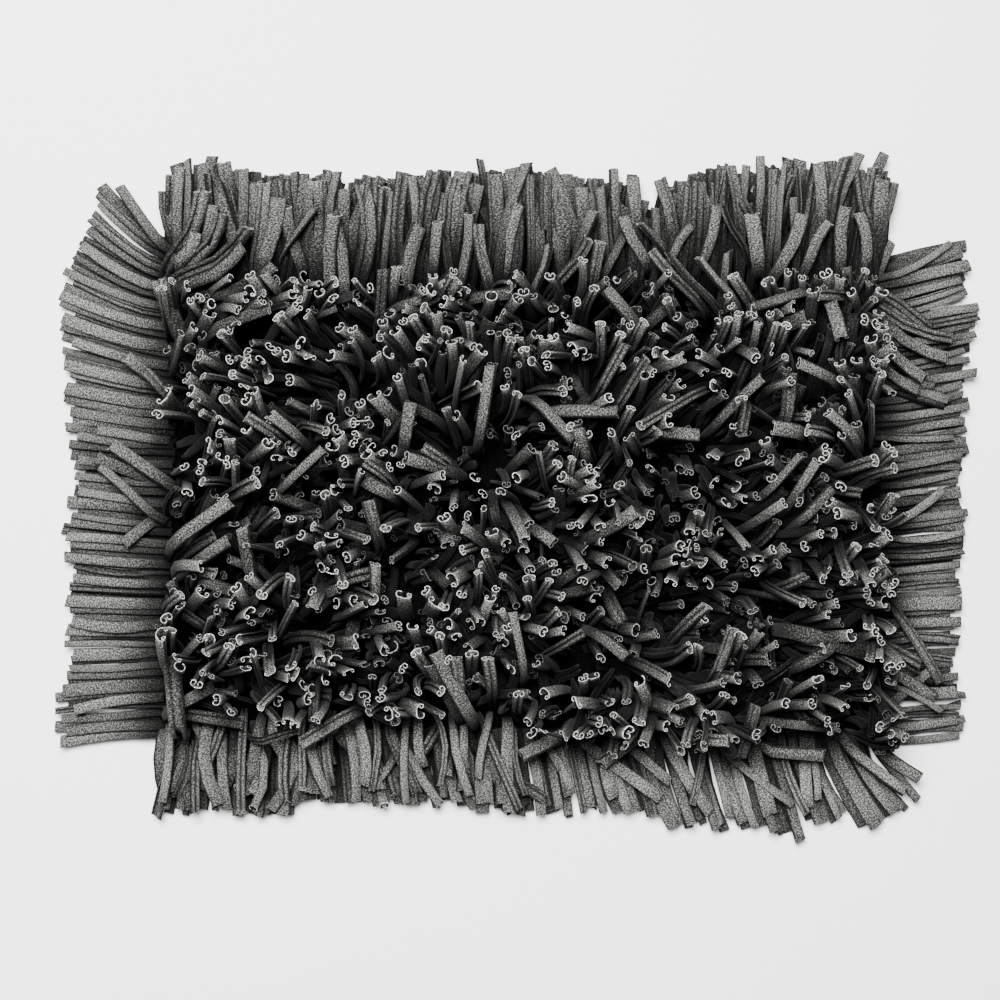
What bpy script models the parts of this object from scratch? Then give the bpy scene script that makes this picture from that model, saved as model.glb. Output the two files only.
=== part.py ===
"""Snuffle mat for a dog: a stiff base sheet with strips of jersey drawn up through it, which stand on it
as a thick leaning pile and lie out past its four edges as a fringe.

Metres, +Z up. The origin is the centre of the base's underside, +X runs along the long side and +Y points
to the back edge.
"""

import collections
import math

import bmesh
import bpy
import numpy as np
from mathutils import Vector

MM = 0.001
GAP = 0.3 * MM  # left between pieces that rest on each other

# Base sheet
BASE_LENGTH = 435 * MM
BASE_WIDTH = 295 * MM
BASE_THICK = 3 * MM
BASE_CORNER = 5 * MM

# Fringe: on each side the strands' roots are gathered in a strip that lies along the base's rim.
# The strands lie in two layers, even ones on the floor and odd ones on top of them.
ROOT_STRIP_WIDTH = 8 * MM
STRAND_THICK = 3.5 * MM
STRAND_WIDTH = 8.4 * MM
NECK_WIDTH = 7 * MM  # a strand's width where it comes down to its layer
LAYER_GAP = 0.9 * MM
UPPER_LAYER = STRAND_THICK + LAYER_GAP  # how far the upper layer's underside is above the floor
LANDING = 13 * MM  # how far past the base's edge a strand comes down to its layer
FAN_CURVE = 1.3  # above 1, a strand leaves the edge square on and bends towards its tip
REACH_JITTER = 0.06
TIP_JITTER = 0.8 * MM

# Pile
PILE_HEIGHT = 46 * MM  # the tufts' tops, above the floor
PILE_CELL = 8.6 * MM
PILE_CORNER = 22 * MM
RIM_DROP = 9 * MM  # how much lower the tufts stand along the rim
RIM_BAND = 30 * MM  # the width over which they do
TUFT_PITCH = 29 * MM
TUFT_DEPTH = 12 * MM  # from a tuft's top to the valley round it
TUFT_UNEVEN = 5 * MM
TUFT_JITTER = 0.3  # as a share of the pitch
LEAN_SHIFT = 5 * MM

# Locks: single strips that hang from the pile's rim over the roots of the fringe
LOCK_WIDTH = 8.4 * MM
LOCK_THICK = 4.5 * MM
LOCK_CLEAR = 1.3 * MM  # between a lock's underside and the fringe's upper layer

# The fringe's groups, in millimetres. Along an edge, x runs to the right and y to the back. A group's
# strands spread from tip_from to tip_to, and reach_from to reach_to past the base's edge.
Group = collections.namedtuple("Group", "strands tip_from tip_to reach_from reach_to")
FRINGES = {
    "fringe_left": (
        Group(7, 181, 130, 38, 57),
        Group(15, 119, 19, 59, 52),
        Group(3, 11, -3, 49, 47),
        Group(5, -11, -37, 51, 54),
        Group(11, -43, -109, 51, 48),
        Group(5, -119, -150, 53, 54),
    ),
    "fringe_right": (
        Group(7, 160, 128, 53, 56),
        Group(4, 120, 93, 61, 53),
        Group(12, 85, 12, 55, 49),
        Group(11, 5, -62, 49, 45),
        Group(8, -69, -116, 43, 41),
        Group(4, -121, -141, 47, 43),
    ),
    "fringe_back": (
        Group(10, -214, -150, 46, 46),
        Group(13, -141, -61, 42, 43),
        Group(10, -54, 3, 45, 50),
        Group(8, 10, 60, 44, 47),
        Group(2, 68, 75, 32, 30),
        Group(5, 83, 112, 42, 52),
        Group(13, 119, 200, 54, 60),
        Group(3, 209, 221, 57, 59),
    ),
    "fringe_front": (
        Group(11, -209, -139, 43, 43),
        Group(14, -131, -42, 37, 38),
        Group(13, -36, 44, 40, 43),
        Group(5, 59, 81, 40, 44),
        Group(8, 90, 138, 49, 49),
        Group(4, 144, 165, 48, 57),
        Group(4, 171, 192, 47, 44),
        Group(5, 204, 234, 49, 36),
    ),
}

# Each side's frame: where its root strip starts, the way along it, the way out, and its length. The side
# strips run the whole width, and the back and front ones fit between them.
Side = collections.namedtuple("Side", "start along out length")
INNER_HALF = BASE_LENGTH / 2 - ROOT_STRIP_WIDTH - GAP
SIDES = {
    "fringe_left": Side((-BASE_LENGTH / 2, BASE_WIDTH / 2), (0, -1), (-1, 0), BASE_WIDTH),
    "fringe_right": Side((BASE_LENGTH / 2, BASE_WIDTH / 2), (0, -1), (1, 0), BASE_WIDTH),
    "fringe_back": Side((-INNER_HALF, BASE_WIDTH / 2), (1, 0), (0, 1), 2 * INNER_HALF),
    "fringe_front": Side((-INNER_HALF, -BASE_WIDTH / 2), (1, 0), (0, -1), 2 * INNER_HALF),
}

# The way the pile leans, charted over the mat in millimetres: at x, y its tips lean by lean_x, lean_y,
# where 1 is as far as a tuft leans.
Lean = collections.namedtuple("Lean", "x y lean_x lean_y")
LEANS = (
    Lean(-190, 110, 0.8, 0.7),
    Lean(-110, 120, 0.3, 1.0),
    Lean(-20, 120, 0.0, 1.0),
    Lean(70, 120, 0.1, 1.0),
    Lean(150, 120, 0.4, 0.9),
    Lean(205, 110, 0.8, 0.5),
    Lean(-180, 50, -0.6, 0.6),
    Lean(-90, 50, 0.2, 0.3),
    Lean(0, 50, -0.2, 0.3),
    Lean(90, 50, 0.4, 0.2),
    Lean(180, 40, 0.9, 0.1),
    Lean(-190, -20, -0.5, 0.2),
    Lean(-100, -20, 0.3, -0.2),
    Lean(0, -20, 0.0, 0.0),
    Lean(90, -20, 0.3, 0.3),
    Lean(180, -30, 0.9, -0.1),
    Lean(-190, -90, 0.2, 0.5),
    Lean(-100, -80, 0.0, -0.3),
    Lean(0, -80, 0.1, -0.4),
    Lean(90, -90, 0.4, -0.5),
    Lean(180, -100, 0.8, -0.4),
    Lean(-160, -130, 0.2, -1.0),
    Lean(-60, -130, 0.0, -1.0),
    Lean(60, -130, 0.1, -1.0),
    Lean(150, -130, 0.4, -0.9),
)
LEAN_REACH = 45 * MM  # how far one row of the chart holds

# Partings, where the pile opens and shows dark: a line from x0, y0 to x1, y1, in millimetres.
Parting = collections.namedtuple("Parting", "x0 y0 x1 y1 width depth")
PARTINGS = (
    Parting(-85, -52, -66, -60, 12, 20),
    Parting(32, -50, 86, -62, 12, 20),
    Parting(86, -62, 138, -72, 11, 17),
    Parting(26, -92, 40, -99, 10, 15),
    Parting(56, -14, 68, -22, 10, 15),
    Parting(148, -50, 172, -57, 11, 16),
    Parting(130, 32, 148, 27, 10, 14),
    Parting(-186, -54, -154, -64, 11, 14),
    Parting(102, 133, 164, 130, 12, 15),
    Parting(-112, 112, -60, 116, 11, 12),
)

# The pile's side, as rings from its top edge round to the base: distance past the base's edge, and height.
Ring = collections.namedtuple("Ring", "out z")
STRIP_TOP = BASE_THICK + GAP + 2 * STRAND_THICK + LAYER_GAP
RIM_TOP = -5 * MM
RINGS = (
    Ring(7 * MM, 24 * MM),
    Ring(4 * MM, 13.5 * MM),
    Ring(-ROOT_STRIP_WIDTH - 2 * GAP, STRIP_TOP + 2 * GAP),
    Ring(-ROOT_STRIP_WIDTH - 2 * GAP, BASE_THICK + GAP),
)
LOCK_BAND = 1  # the locks hang from the band of faces above this ring
RING_UNEVEN = 3 * MM
LOCK_TIP = UPPER_LAYER + STRAND_THICK + LOCK_CLEAR + LOCK_THICK / 2
LOCK_SECTIONS = ((0.5, 15 * MM, 7 * MM), (1.0, LOCK_TIP, LOCK_THICK))  # share of reach, height, thickness

# Rows of locks, in millimetres along each side and out past the edge.
Locks = collections.namedtuple("Locks", "side start end count reach sweep")
LOCKS = (
    Locks("fringe_back", -196, -73, 8, 21, -2),
    Locks("fringe_back", -50, 190, 14, 19, 3),
    Locks("fringe_front", -196, -23, 11, 17, 2),
    Locks("fringe_front", -2, 196, 12, 19, 3),
    Locks("fringe_left", 120, -125, 9, 15, 3),
    Locks("fringe_right", 120, 28, 6, 21, -4),
    Locks("fringe_right", 6, -125, 8, 18, -1),
)

JERSEY = ("jersey", (0.045, 0.045, 0.048), 0.95)
FELT = ("felt", (0.018, 0.018, 0.02), 0.9)


def principled(name, colour, roughness):
    """A plain Principled material of the piece's colour."""
    material = bpy.data.materials.new(name)
    material.use_nodes = True
    shader = material.node_tree.nodes["Principled BSDF"]
    shader.inputs["Base Color"].default_value = (*colour, 1.0)
    shader.inputs["Roughness"].default_value = roughness
    return material


def add_piece(name, bm, finish):
    """A bmesh as a named object in the mat's collection, facing outwards, with a material of its own."""
    bmesh.ops.recalc_face_normals(bm, faces=bm.faces)
    if bm.calc_volume(signed=True) < 0:
        bmesh.ops.reverse_faces(bm, faces=bm.faces)
    mesh = bpy.data.meshes.new(name)
    bm.to_mesh(mesh)
    bm.free()
    piece = bpy.data.objects.new(name, mesh)
    mesh.materials.append(principled(f"{name}_{finish[0]}", *finish[1:]))
    bpy.data.collections["snuffle_mat"].objects.link(piece)
    return piece


def block(bm, low, high):
    """A box from its lowest to its highest corner."""
    made = bmesh.ops.create_cube(bm, size=1.0)["verts"]
    low, high = Vector(low), Vector(high)
    for vert in made:
        vert.co = Vector((low[k] if vert.co[k] < 0 else high[k]) for k in range(3))


def is_upright(edge):
    """Whether an edge of a block runs up and down."""
    return abs(edge.verts[0].co.z - edge.verts[1].co.z) > BASE_THICK / 2


def add_backing():
    """The base sheet, with its four corners rounded."""
    bm = bmesh.new()
    block(bm, (-BASE_LENGTH / 2, -BASE_WIDTH / 2, 0), (BASE_LENGTH / 2, BASE_WIDTH / 2, BASE_THICK))
    upright_edges = [e for e in bm.edges if is_upright(e)]
    bmesh.ops.bevel(bm, geom=upright_edges, offset=BASE_CORNER, segments=4, profile=0.5, affect="EDGES")
    add_piece("backing", bm, FELT)


def root_strip(length, count):
    """A fringe's root strip in its side's own frame (x along, y out), and the faces its strands leave from.

    The outer face is cut into a column for each strand and three levels: the lower layer's roots, the gap
    between the layers, and the upper layer's roots. Even columns root below and odd ones above.
    """
    bottom, top = BASE_THICK + GAP, STRIP_TOP
    levels = (bottom, bottom + STRAND_THICK, top - STRAND_THICK, top)
    bm = bmesh.new()
    block(bm, (0, -ROOT_STRIP_WIDTH, bottom), (length, 0, top))
    level_edges = [e for e in outer_face(bm.edges) if e.calc_length() > length / 2]
    bmesh.ops.subdivide_edges(bm, edges=level_edges, cuts=count - 1, use_grid_fill=True)
    upright_edges = [e for e in outer_face(bm.edges) if is_upright(e)]
    bmesh.ops.subdivide_edges(bm, edges=upright_edges, cuts=2, use_grid_fill=True)
    for vert in bm.verts:
        vert.co.z = levels[round(3 * (vert.co.z - bottom) / (top - bottom))]
    roots = {}
    for face in outer_face(bm.faces):
        middle = face.calc_center_median()
        column = int(middle.x / length * count)
        if middle.z > levels[2] if column % 2 else middle.z < levels[1]:
            roots[column] = face
    return bm, [roots[column] for column in range(count)]


def outer_face(items):
    """The edges or faces that lie on a root strip's outer side."""
    return [item for item in items if all(abs(vert.co.y) < GAP for vert in item.verts)]


def strand_tips(groups, side, rng):
    """Each strand's tip on its side, as (distance along the root strip, reach), one row a strand."""
    rows = []
    for group in groups:
        share = np.linspace(0, 1, group.strands)
        tip = group.tip_from + (group.tip_to - group.tip_from) * share
        reach = group.reach_from + (group.reach_to - group.reach_from) * share
        rows.append(np.stack([tip, reach], axis=1))
    tips = np.concatenate(rows) * MM
    tips[:, 0] = tips[:, 0] * sum(side.along) - np.dot(side.start, side.along)
    tips[:, 0] += rng.uniform(-TIP_JITTER, TIP_JITTER, len(tips))
    tips[:, 1] *= 1 + rng.uniform(-REACH_JITTER, REACH_JITTER, len(tips))
    return tips


def draw_out(bm, faces, centres, across, width, thick):
    """Extrudes each face on its own and sets the new face's corners square about its centre."""
    drawn = []
    for face, centre, side_way in zip(faces, centres, across):
        end = bmesh.ops.extrude_discrete_faces(bm, faces=[face])["faces"][0]
        middle = end.calc_center_median()
        for vert in end.verts:
            sideways = math.copysign(width / 2, (vert.co - middle).dot(side_way))
            upward = math.copysign(thick / 2, vert.co.z - middle.z)
            vert.co = centre + side_way * sideways + Vector((0, 0, upward))
        drawn.append(end)
    return drawn


def add_fringe(name, seed):
    """One side's fringe: strands drawn out of its root strip, down to their layer and level to their tips.

    At a share s of its reach, a strand has gone turn * s^FAN_CURVE along the edge.
    """
    side, groups = SIDES[name], FRINGES[name]
    count = sum(group.strands for group in groups)
    tips = strand_tips(groups, side, np.random.default_rng(seed))
    bm, faces = root_strip(side.length, count)
    column = np.arange(count)
    root_at = (column + 0.5) * side.length / count
    height = STRAND_THICK / 2 + np.where(column % 2, UPPER_LAYER, 0.0)
    turn, reach = tips[:, 0] - root_at, tips[:, 1]
    landing = LANDING / reach
    sections = ((landing, NECK_WIDTH), ((landing + 1) / 2, STRAND_WIDTH), (np.ones(count), STRAND_WIDTH))
    for share, width in sections:
        at = root_at + turn * share**FAN_CURVE
        slope = turn * FAN_CURVE * share ** (FAN_CURVE - 1) / reach
        centres = [Vector(place) for place in zip(at, reach * share, height)]
        across = [Vector((1, -s, 0)).normalized() for s in slope]
        faces = draw_out(bm, faces, centres, across, width, STRAND_THICK)

    along, out = Vector((*side.along, 0)), Vector((*side.out, 0))
    corner = Vector((*side.start, 0))
    for vert in bm.verts:
        vert.co = corner + along * vert.co.x + out * vert.co.y + Vector((0, 0, vert.co.z))
    add_piece(name, bm, JERSEY)


def lean_at(points):
    """The pile's lean at each point: the chart's rows, each weighted by exp(-(distance / reach)^2)."""
    chart = np.array(LEANS)
    away = points[:, None, :] - chart[None, :, :2] * MM
    weight = np.exp(-(away**2).sum(axis=2) / LEAN_REACH**2) + 1e-6
    return (weight @ chart[:, 2:]) / weight.sum(axis=1, keepdims=True)


def parting_depth(points):
    """How far the partings lower the pile: the deepest of depth * exp(-(distance to line / width)^2)."""
    depth = np.zeros(len(points))
    for row in PARTINGS:
        start = np.array((row.x0, row.y0)) * MM
        run = np.array((row.x1, row.y1)) * MM - start
        share = np.clip(((points - start) @ run) / (run @ run), 0, 1)
        away = points - start - share[:, None] * run
        sink = row.depth * MM * np.exp(-(away**2).sum(axis=1) / (row.width * MM) ** 2)
        depth = np.maximum(depth, sink)
    return depth


def tufts():
    """The tufts' places and heights, on a staggered lattice that covers the mat, shifted a little."""
    rng = np.random.default_rng(7)
    row_pitch = TUFT_PITCH * math.sqrt(3) / 2
    rows = int(BASE_WIDTH / row_pitch) + 3
    columns = int(BASE_LENGTH / TUFT_PITCH) + 3
    row, column = np.divmod(np.arange(rows * columns), columns)
    x = (column - (columns - 1) / 2 + 0.5 * (row % 2) - 0.25) * TUFT_PITCH
    y = (row - (rows - 1) / 2) * row_pitch
    places = np.stack([x, y], axis=1)
    places += rng.uniform(-TUFT_JITTER, TUFT_JITTER, places.shape) * TUFT_PITCH
    heights = rng.uniform(-TUFT_UNEVEN, 0, len(places))
    return places, heights


def lumps(points):
    """The tufts' relief below PILE_HEIGHT: each is a dome, and the highest dome at a point shows."""
    places, heights = tufts()
    away = np.linalg.norm(points[:, None, :] - places[None, :, :], axis=2)
    domes = heights - TUFT_DEPTH * (away / (0.6 * TUFT_PITCH)) ** 2
    return np.maximum(domes.max(axis=1), -TUFT_DEPTH - TUFT_UNEVEN)


def outline(points, half, radius, out):
    """Moves points of a rectangle's rim to a rounded rectangle that lies that far outside it."""
    core = np.clip(points, -(half - radius), half - radius)
    away = points - core
    away /= np.linalg.norm(away, axis=1, keepdims=True)
    return core + away * np.reshape(radius + out, (-1, 1))


def rounded(points, half, radius):
    """A rectangle's points drawn in at its corners, so that the corner squares become quarter discs."""
    core = np.clip(points, -(half - radius), half - radius)
    away = points - core
    far = np.abs(away).max(axis=1, keepdims=True)
    length = np.linalg.norm(away, axis=1, keepdims=True)
    return core + np.where(length > 0, away * far / np.maximum(length, 1e-9), 0)


def lock_faces(band, row, edge, out):
    """The rim's faces nearest to a row of locks' places, in order."""
    whole = [face for face in band if face.is_valid]
    facing = [face for face in whole if face.calc_center_median().dot(out) > edge]
    axis = 0 if SIDES[row.side].along[0] else 1
    found = []
    for place in np.linspace(row.start, row.end, row.count) * MM:
        free = [face for face in facing if face not in found]
        found.append(min(free, key=lambda face: abs(face.calc_center_median()[axis] - place)))
    return found


def add_locks(bm, band, row, rng):
    """One row of locks: each is a rim face drawn out over the fringe, bent down and narrowed to its tip."""
    side = SIDES[row.side]
    along, out = Vector((abs(side.along[0]), abs(side.along[1]), 0)), Vector((*side.out, 0))
    edge = Vector((*side.start, 0)).dot(out)
    faces = lock_faces(band, row, edge, out)
    roots = [face.calc_center_median() for face in faces]
    reach = row.reach * MM * rng.uniform(0.8, 1.2, row.count)
    sweep = (row.sweep + rng.uniform(-2, 2, row.count)) * MM
    for share, height, thick in LOCK_SECTIONS:
        centres = []
        for root, far, slide in zip(roots, reach, sweep):
            start = root.dot(out)
            place = along * (root.dot(along) + slide * share) + out * (start + (edge + far - start) * share)
            centres.append(Vector((place.x, place.y, height)))
        faces = draw_out(bm, faces, centres, [along] * len(faces), LOCK_WIDTH, thick)


def add_rings(bm, half, flat_layer):
    """The pile's side: the top's rim drawn out, round and under, one ring after another. Returns the bands
    of faces between the rings."""
    edges = [edge for edge in bm.edges if edge.is_boundary]
    bands = []
    for ring in RINGS:
        made = bmesh.ops.extrude_edge_only(bm, edges=edges)["geom"]
        edges = [item for item in made if isinstance(item, bmesh.types.BMEdge) and item.is_boundary]
        bands.append([item for item in made if isinstance(item, bmesh.types.BMFace)])
        verts = list({vert for edge in edges for vert in edge.verts})
        flat = np.array([vert[flat_layer][:2] for vert in verts])
        bulge = RING_UNEVEN * (lumps(flat) / TUFT_DEPTH + 0.5) if ring.out > 0 else 0.0
        for vert, place in zip(verts, outline(flat, half, PILE_CORNER, ring.out - RIM_TOP + bulge)):
            vert.co = (*place, ring.z)
    bmesh.ops.holes_fill(bm, edges=edges, sides=0)
    return bands


def add_pile():
    """The pile: a lumpy slab whose side bulges over the roots of the fringe and carries the rim's locks."""
    half = np.array((BASE_LENGTH / 2, BASE_WIDTH / 2)) + RIM_TOP
    columns, rows = (round(2 * extent / PILE_CELL) for extent in half)
    bm = bmesh.new()
    bmesh.ops.create_grid(bm, x_segments=columns, y_segments=rows, size=1.0)
    flat = np.array([vert.co[:2] for vert in bm.verts]) * half
    flat_layer = bm.verts.layers.float_vector.new("flat_place")
    points = rounded(flat, half, PILE_CORNER)
    rim_share = np.clip(1 - (half - np.abs(flat)).min(axis=1) / RIM_BAND, 0, 1)
    relief = lumps(points) - parting_depth(points) - RIM_DROP * rim_share**2
    lift = (1 - rim_share) * (1 + relief / TUFT_DEPTH)
    places = points + lean_at(points) * LEAN_SHIFT * lift[:, None]
    for vert, place, height, origin in zip(bm.verts, places, PILE_HEIGHT + relief, flat):
        vert.co = (*place, height)
        vert[flat_layer] = (*origin, 0)
    bands = add_rings(bm, half, flat_layer)
    rng = np.random.default_rng(11)
    for row in LOCKS:
        add_locks(bm, bands[LOCK_BAND], row, rng)
    add_piece("pile", bm, JERSEY)


def main():
    for old in list(bpy.data.objects):
        bpy.data.objects.remove(old)
    mat = bpy.data.collections.new("snuffle_mat")
    bpy.context.scene.collection.children.link(mat)
    add_backing()
    add_pile()
    for seed, name in enumerate(SIDES):
        add_fringe(name, seed)


main()
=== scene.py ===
import collections
import math

import bpy
import numpy as np
from mathutils import Matrix, Vector


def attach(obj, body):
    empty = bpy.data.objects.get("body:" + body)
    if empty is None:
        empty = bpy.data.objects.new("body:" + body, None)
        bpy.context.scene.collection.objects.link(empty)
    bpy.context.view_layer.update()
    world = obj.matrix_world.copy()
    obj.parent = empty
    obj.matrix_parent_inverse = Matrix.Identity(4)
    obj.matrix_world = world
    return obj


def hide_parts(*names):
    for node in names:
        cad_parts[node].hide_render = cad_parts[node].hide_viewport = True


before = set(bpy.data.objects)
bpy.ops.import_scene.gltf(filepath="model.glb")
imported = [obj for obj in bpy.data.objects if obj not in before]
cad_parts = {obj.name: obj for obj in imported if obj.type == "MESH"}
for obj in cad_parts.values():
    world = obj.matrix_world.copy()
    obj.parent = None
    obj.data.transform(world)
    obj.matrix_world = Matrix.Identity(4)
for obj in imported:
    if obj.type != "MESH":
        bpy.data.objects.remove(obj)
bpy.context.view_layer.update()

# ---- Base sheet: the stiff felted panel that every strip is knotted through. It is cut from one sheet
# with rounded corners, and it shows only between the strips, as black, and from below.

MM = 0.001
BASE_LENGTH = 435 * MM
BASE_WIDTH = 295 * MM
BASE_TOP = 3 * MM
FELT_TANGLE = 1 / 700  # metres, 1.4 mm: the size of one tangle of hairs
FELT_RELIEF = 0.4 * MM


def linear(code):
    """An sRGB hex colour as linear red, green, blue and 1. A channel c of 0 to 1 becomes c / 12.92 where it
    is dark, and ((c + 0.055) / 1.055)^2.4 elsewhere."""
    parts = [int(code[k : k + 2], 16) / 255 for k in (1, 3, 5)]
    return (*(c / 12.92 if c <= 0.04045 else ((c + 0.055) / 1.055) ** 2.4 for c in parts), 1.0)


def add_node(material, kind, settings=(), inputs=(), links=()):
    """One shader node of a kind, with its settings and its inputs' values by name or number, and links
    from its inputs to the outputs that feed them."""
    made = material.node_tree.nodes.new(kind)
    for name, value in dict(settings).items():
        setattr(made, name, value)
    for name, value in dict(inputs).items():
        made.inputs[name].default_value = value
    for name, source in dict(links).items():
        material.node_tree.links.new(source, made.inputs[name])
    return made


def new_material(name, **sockets):
    """A material whose Principled shader has these socket values, with its shader."""
    material = bpy.data.materials.new(name)
    material.use_nodes = True
    shader = material.node_tree.nodes["Principled BSDF"]
    for socket, value in sockets.items():
        shader.inputs[socket.replace("_", " ")].default_value = value
    return material, shader


# Needle felt: a black sheet of fibres that barbed needles have matted. It has no shine at all, and a few
# paler hairs caught in it keep it from looking like paint. Its near-black is partly painted shade: it is
# drawn darker than real felt, to stand for the shadow at the bottom of the pile between the strips.
felt, felt_shader = new_material("needle_felt", Roughness=1.0, Specular_IOR_Level=0.0)
felt_place = add_node(felt, "ShaderNodeTexCoord")
hairs = add_node(
    felt, "ShaderNodeTexNoise", inputs={"Scale": 1 / FELT_TANGLE, "Detail": 6.0, "Roughness": 0.7},
    links={"Vector": felt_place.outputs["Object"]},
)
felt_shades = add_node(felt, "ShaderNodeValToRGB", links={"Fac": hairs.outputs["Fac"]})
felt_shades.color_ramp.elements[0].position = 0.35
felt_shades.color_ramp.elements[0].color = linear("#020202")
felt_shades.color_ramp.elements[1].position = 0.8
felt_shades.color_ramp.elements[1].color = linear("#0a0a0a")
matting = add_node(
    felt, "ShaderNodeBump", inputs={"Strength": 0.6, "Distance": FELT_RELIEF},
    links={"Height": hairs.outputs["Fac"]},
)
felt.node_tree.links.new(felt_shades.outputs["Color"], felt_shader.inputs["Base Color"])
felt.node_tree.links.new(matting.outputs["Normal"], felt_shader.inputs["Normal"])
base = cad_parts["backing"]
base.data.materials.clear()
base.data.materials.append(felt)

# ---- Strips: heather-grey cotton jersey, cut along its length into strips about 18 mm wide, or 15 mm for
# the fringe. Both cut edges roll up, mostly towards the face, so a strip is a soft double scroll about
# 8 mm across and 4 mm thick.

FABRIC = 0.4 * MM
SECTION_SAMPLES = 801
SIDE_STOPS = (40, 68)  # degrees rolled where the cloth turns from its face to its side
HALF_POINTS = 7  # points from the middle, which isn't counted, to each edge
INNER_LOSS = 0.85  # the share of its light that the face rolled inwards loses
INNER_CLOSED = 120  # degrees rolled where it has lost all of that
PRESSED = 1.6 * MM  # what is under this height is pressed flat
PRESSED_SHARE = 0.4
LOWEST = 0.02 * MM
CUT_SLANT = 0.11  # how oblique the end cuts are, as a slope

# Ways that the strips curl. The cut width is in millimetres. Each half turns by its angle in degrees from
# the middle to its edge, curving in proportion to the distance from the middle to the power of evenness.
# Flatten is the share of its thickness that pressing leaves. The last two columns are how common the curl
# is in the fringe and in the pile.
Curl = collections.namedtuple("Curl", "width left right evenness flatten in_fringe in_pile")
CURLS = (
    Curl(20, 340, 340, 0.60, 0.90, 0.12, 0.24),
    Curl(20, 310, 310, 0.55, 0.90, 0.14, 0.22),
    Curl(18, 190, 190, 0.25, 0.75, 0.14, 0.05),
    Curl(21, 380, 380, 1.00, 0.85, 0.30, 0.14),
    Curl(19, 400, 240, 0.80, 0.90, 0.10, 0.16),
    Curl(19, 300, -300, 0.80, 0.60, 0.00, 0.08),
    Curl(18, 330, 330, 1.50, 0.75, 0.20, 0.03),
    Curl(17, 450, 170, 0.60, 1.00, 0.00, 0.08),
)

# Degrees rolled, and the light that the face rolled outwards gets there.
SIDE_SHADE = ((40, 68, 125, 165, 215, 280), (1.0, 0.07, 0.07, 0.95, 0.6, 0.15))


def curl_profile(curl):
    """A strip's cross-section as a closed loop, out along one face and back along the other. Each row holds
    x, y, the distance across the flat cloth, and how open that point is to the light.

    The middle line's direction at s is the sum of its curvature from 0 to s, where the curvature grows as
    |s|^evenness towards each edge, and its points are the sum of its direction, with y times flatten. The
    two faces lie half the fabric's thickness to either side. Their openness is painted shade: the face that
    is rolled inwards is drawn darker as the roll closes, and the other is drawn darker at the strip's sides,
    where its neighbours press, as SIDE_SHADE gives for the angle rolled.
    """
    s = np.linspace(-1, 1, SECTION_SAMPLES)
    step = s[1] - s[0]
    turns = np.radians(np.where(s < 0, curl.left, curl.right))
    bend = turns * (curl.evenness + 1) * np.abs(s) ** curl.evenness
    angle = np.concatenate(([0], np.cumsum((bend[1:] + bend[:-1]) / 2 * step)))
    angle -= np.interp(0, s, angle)
    half_width = curl.width * MM / 2
    ahead = (angle[1:] + angle[:-1]) / 2
    x = np.concatenate(([0], np.cumsum(np.cos(ahead)))) * step * half_width
    y = np.concatenate(([0], np.cumsum(np.sin(ahead)))) * step * half_width * curl.flatten
    stops = []
    for turn, way in ((curl.left, -1), (curl.right, 1)):
        to_edge = np.linspace(SIDE_STOPS[-1], abs(turn), HALF_POINTS - 1)[1:]
        rolled = np.concatenate(([0], SIDE_STOPS, to_edge))
        stops.append(way * (rolled / abs(turn)) ** (1 / (curl.evenness + 1)))
    chosen = np.concatenate([stops[0][:0:-1], stops[1]])
    middle = np.stack([np.interp(chosen, s, x), np.interp(chosen, s, y)], axis=1)
    slope = np.stack([np.interp(chosen, s, np.gradient(x)), np.interp(chosen, s, np.gradient(y))], axis=1)
    slope /= np.linalg.norm(slope, axis=1, keepdims=True)
    normal = np.stack([-slope[:, 1], slope[:, 0]], axis=1) * FABRIC / 2
    rolled = np.degrees(np.abs(np.interp(chosen, s, angle)))
    inner = 1 - INNER_LOSS * np.clip(rolled / INNER_CLOSED, 0, 1)
    outer = np.interp(rolled, *SIDE_SHADE)
    up_rolled = np.where(chosen < 0, curl.left, curl.right) > 0
    faces = [
        np.column_stack([middle + normal, chosen * half_width, np.where(up_rolled, inner, outer)]),
        np.column_stack([middle - normal, chosen * half_width, np.where(up_rolled, outer, inner)])[::-1],
    ]
    rows = np.concatenate(faces)
    rows[:, :2] -= (rows[:, :2].max(axis=0) + rows[:, :2].min(axis=0)) / 2
    return counter_clockwise(rows)


def counter_clockwise(rows):
    """Rows of a closed loop, turned if need be to run counter-clockwise: its shoelace area is positive."""
    x, y = rows[:, 0], rows[:, 1]
    area = (x * np.roll(y, -1) - np.roll(x, -1) * y).sum()
    return rows if area > 0 else rows[::-1]


PROFILES = np.stack([curl_profile(curl) for curl in CURLS])
MIRRORED = np.stack([counter_clockwise(rows * (-1, 1, -1, 1)) for rows in PROFILES])
FRINGE_CURLS = np.array([curl.in_fringe for curl in CURLS])
PILE_CURLS = np.array([curl.in_pile for curl in CURLS])


def unit(vectors):
    """Vectors divided by their own lengths."""
    return vectors / np.maximum(np.linalg.norm(vectors, axis=-1, keepdims=True), 1e-12)


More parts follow.
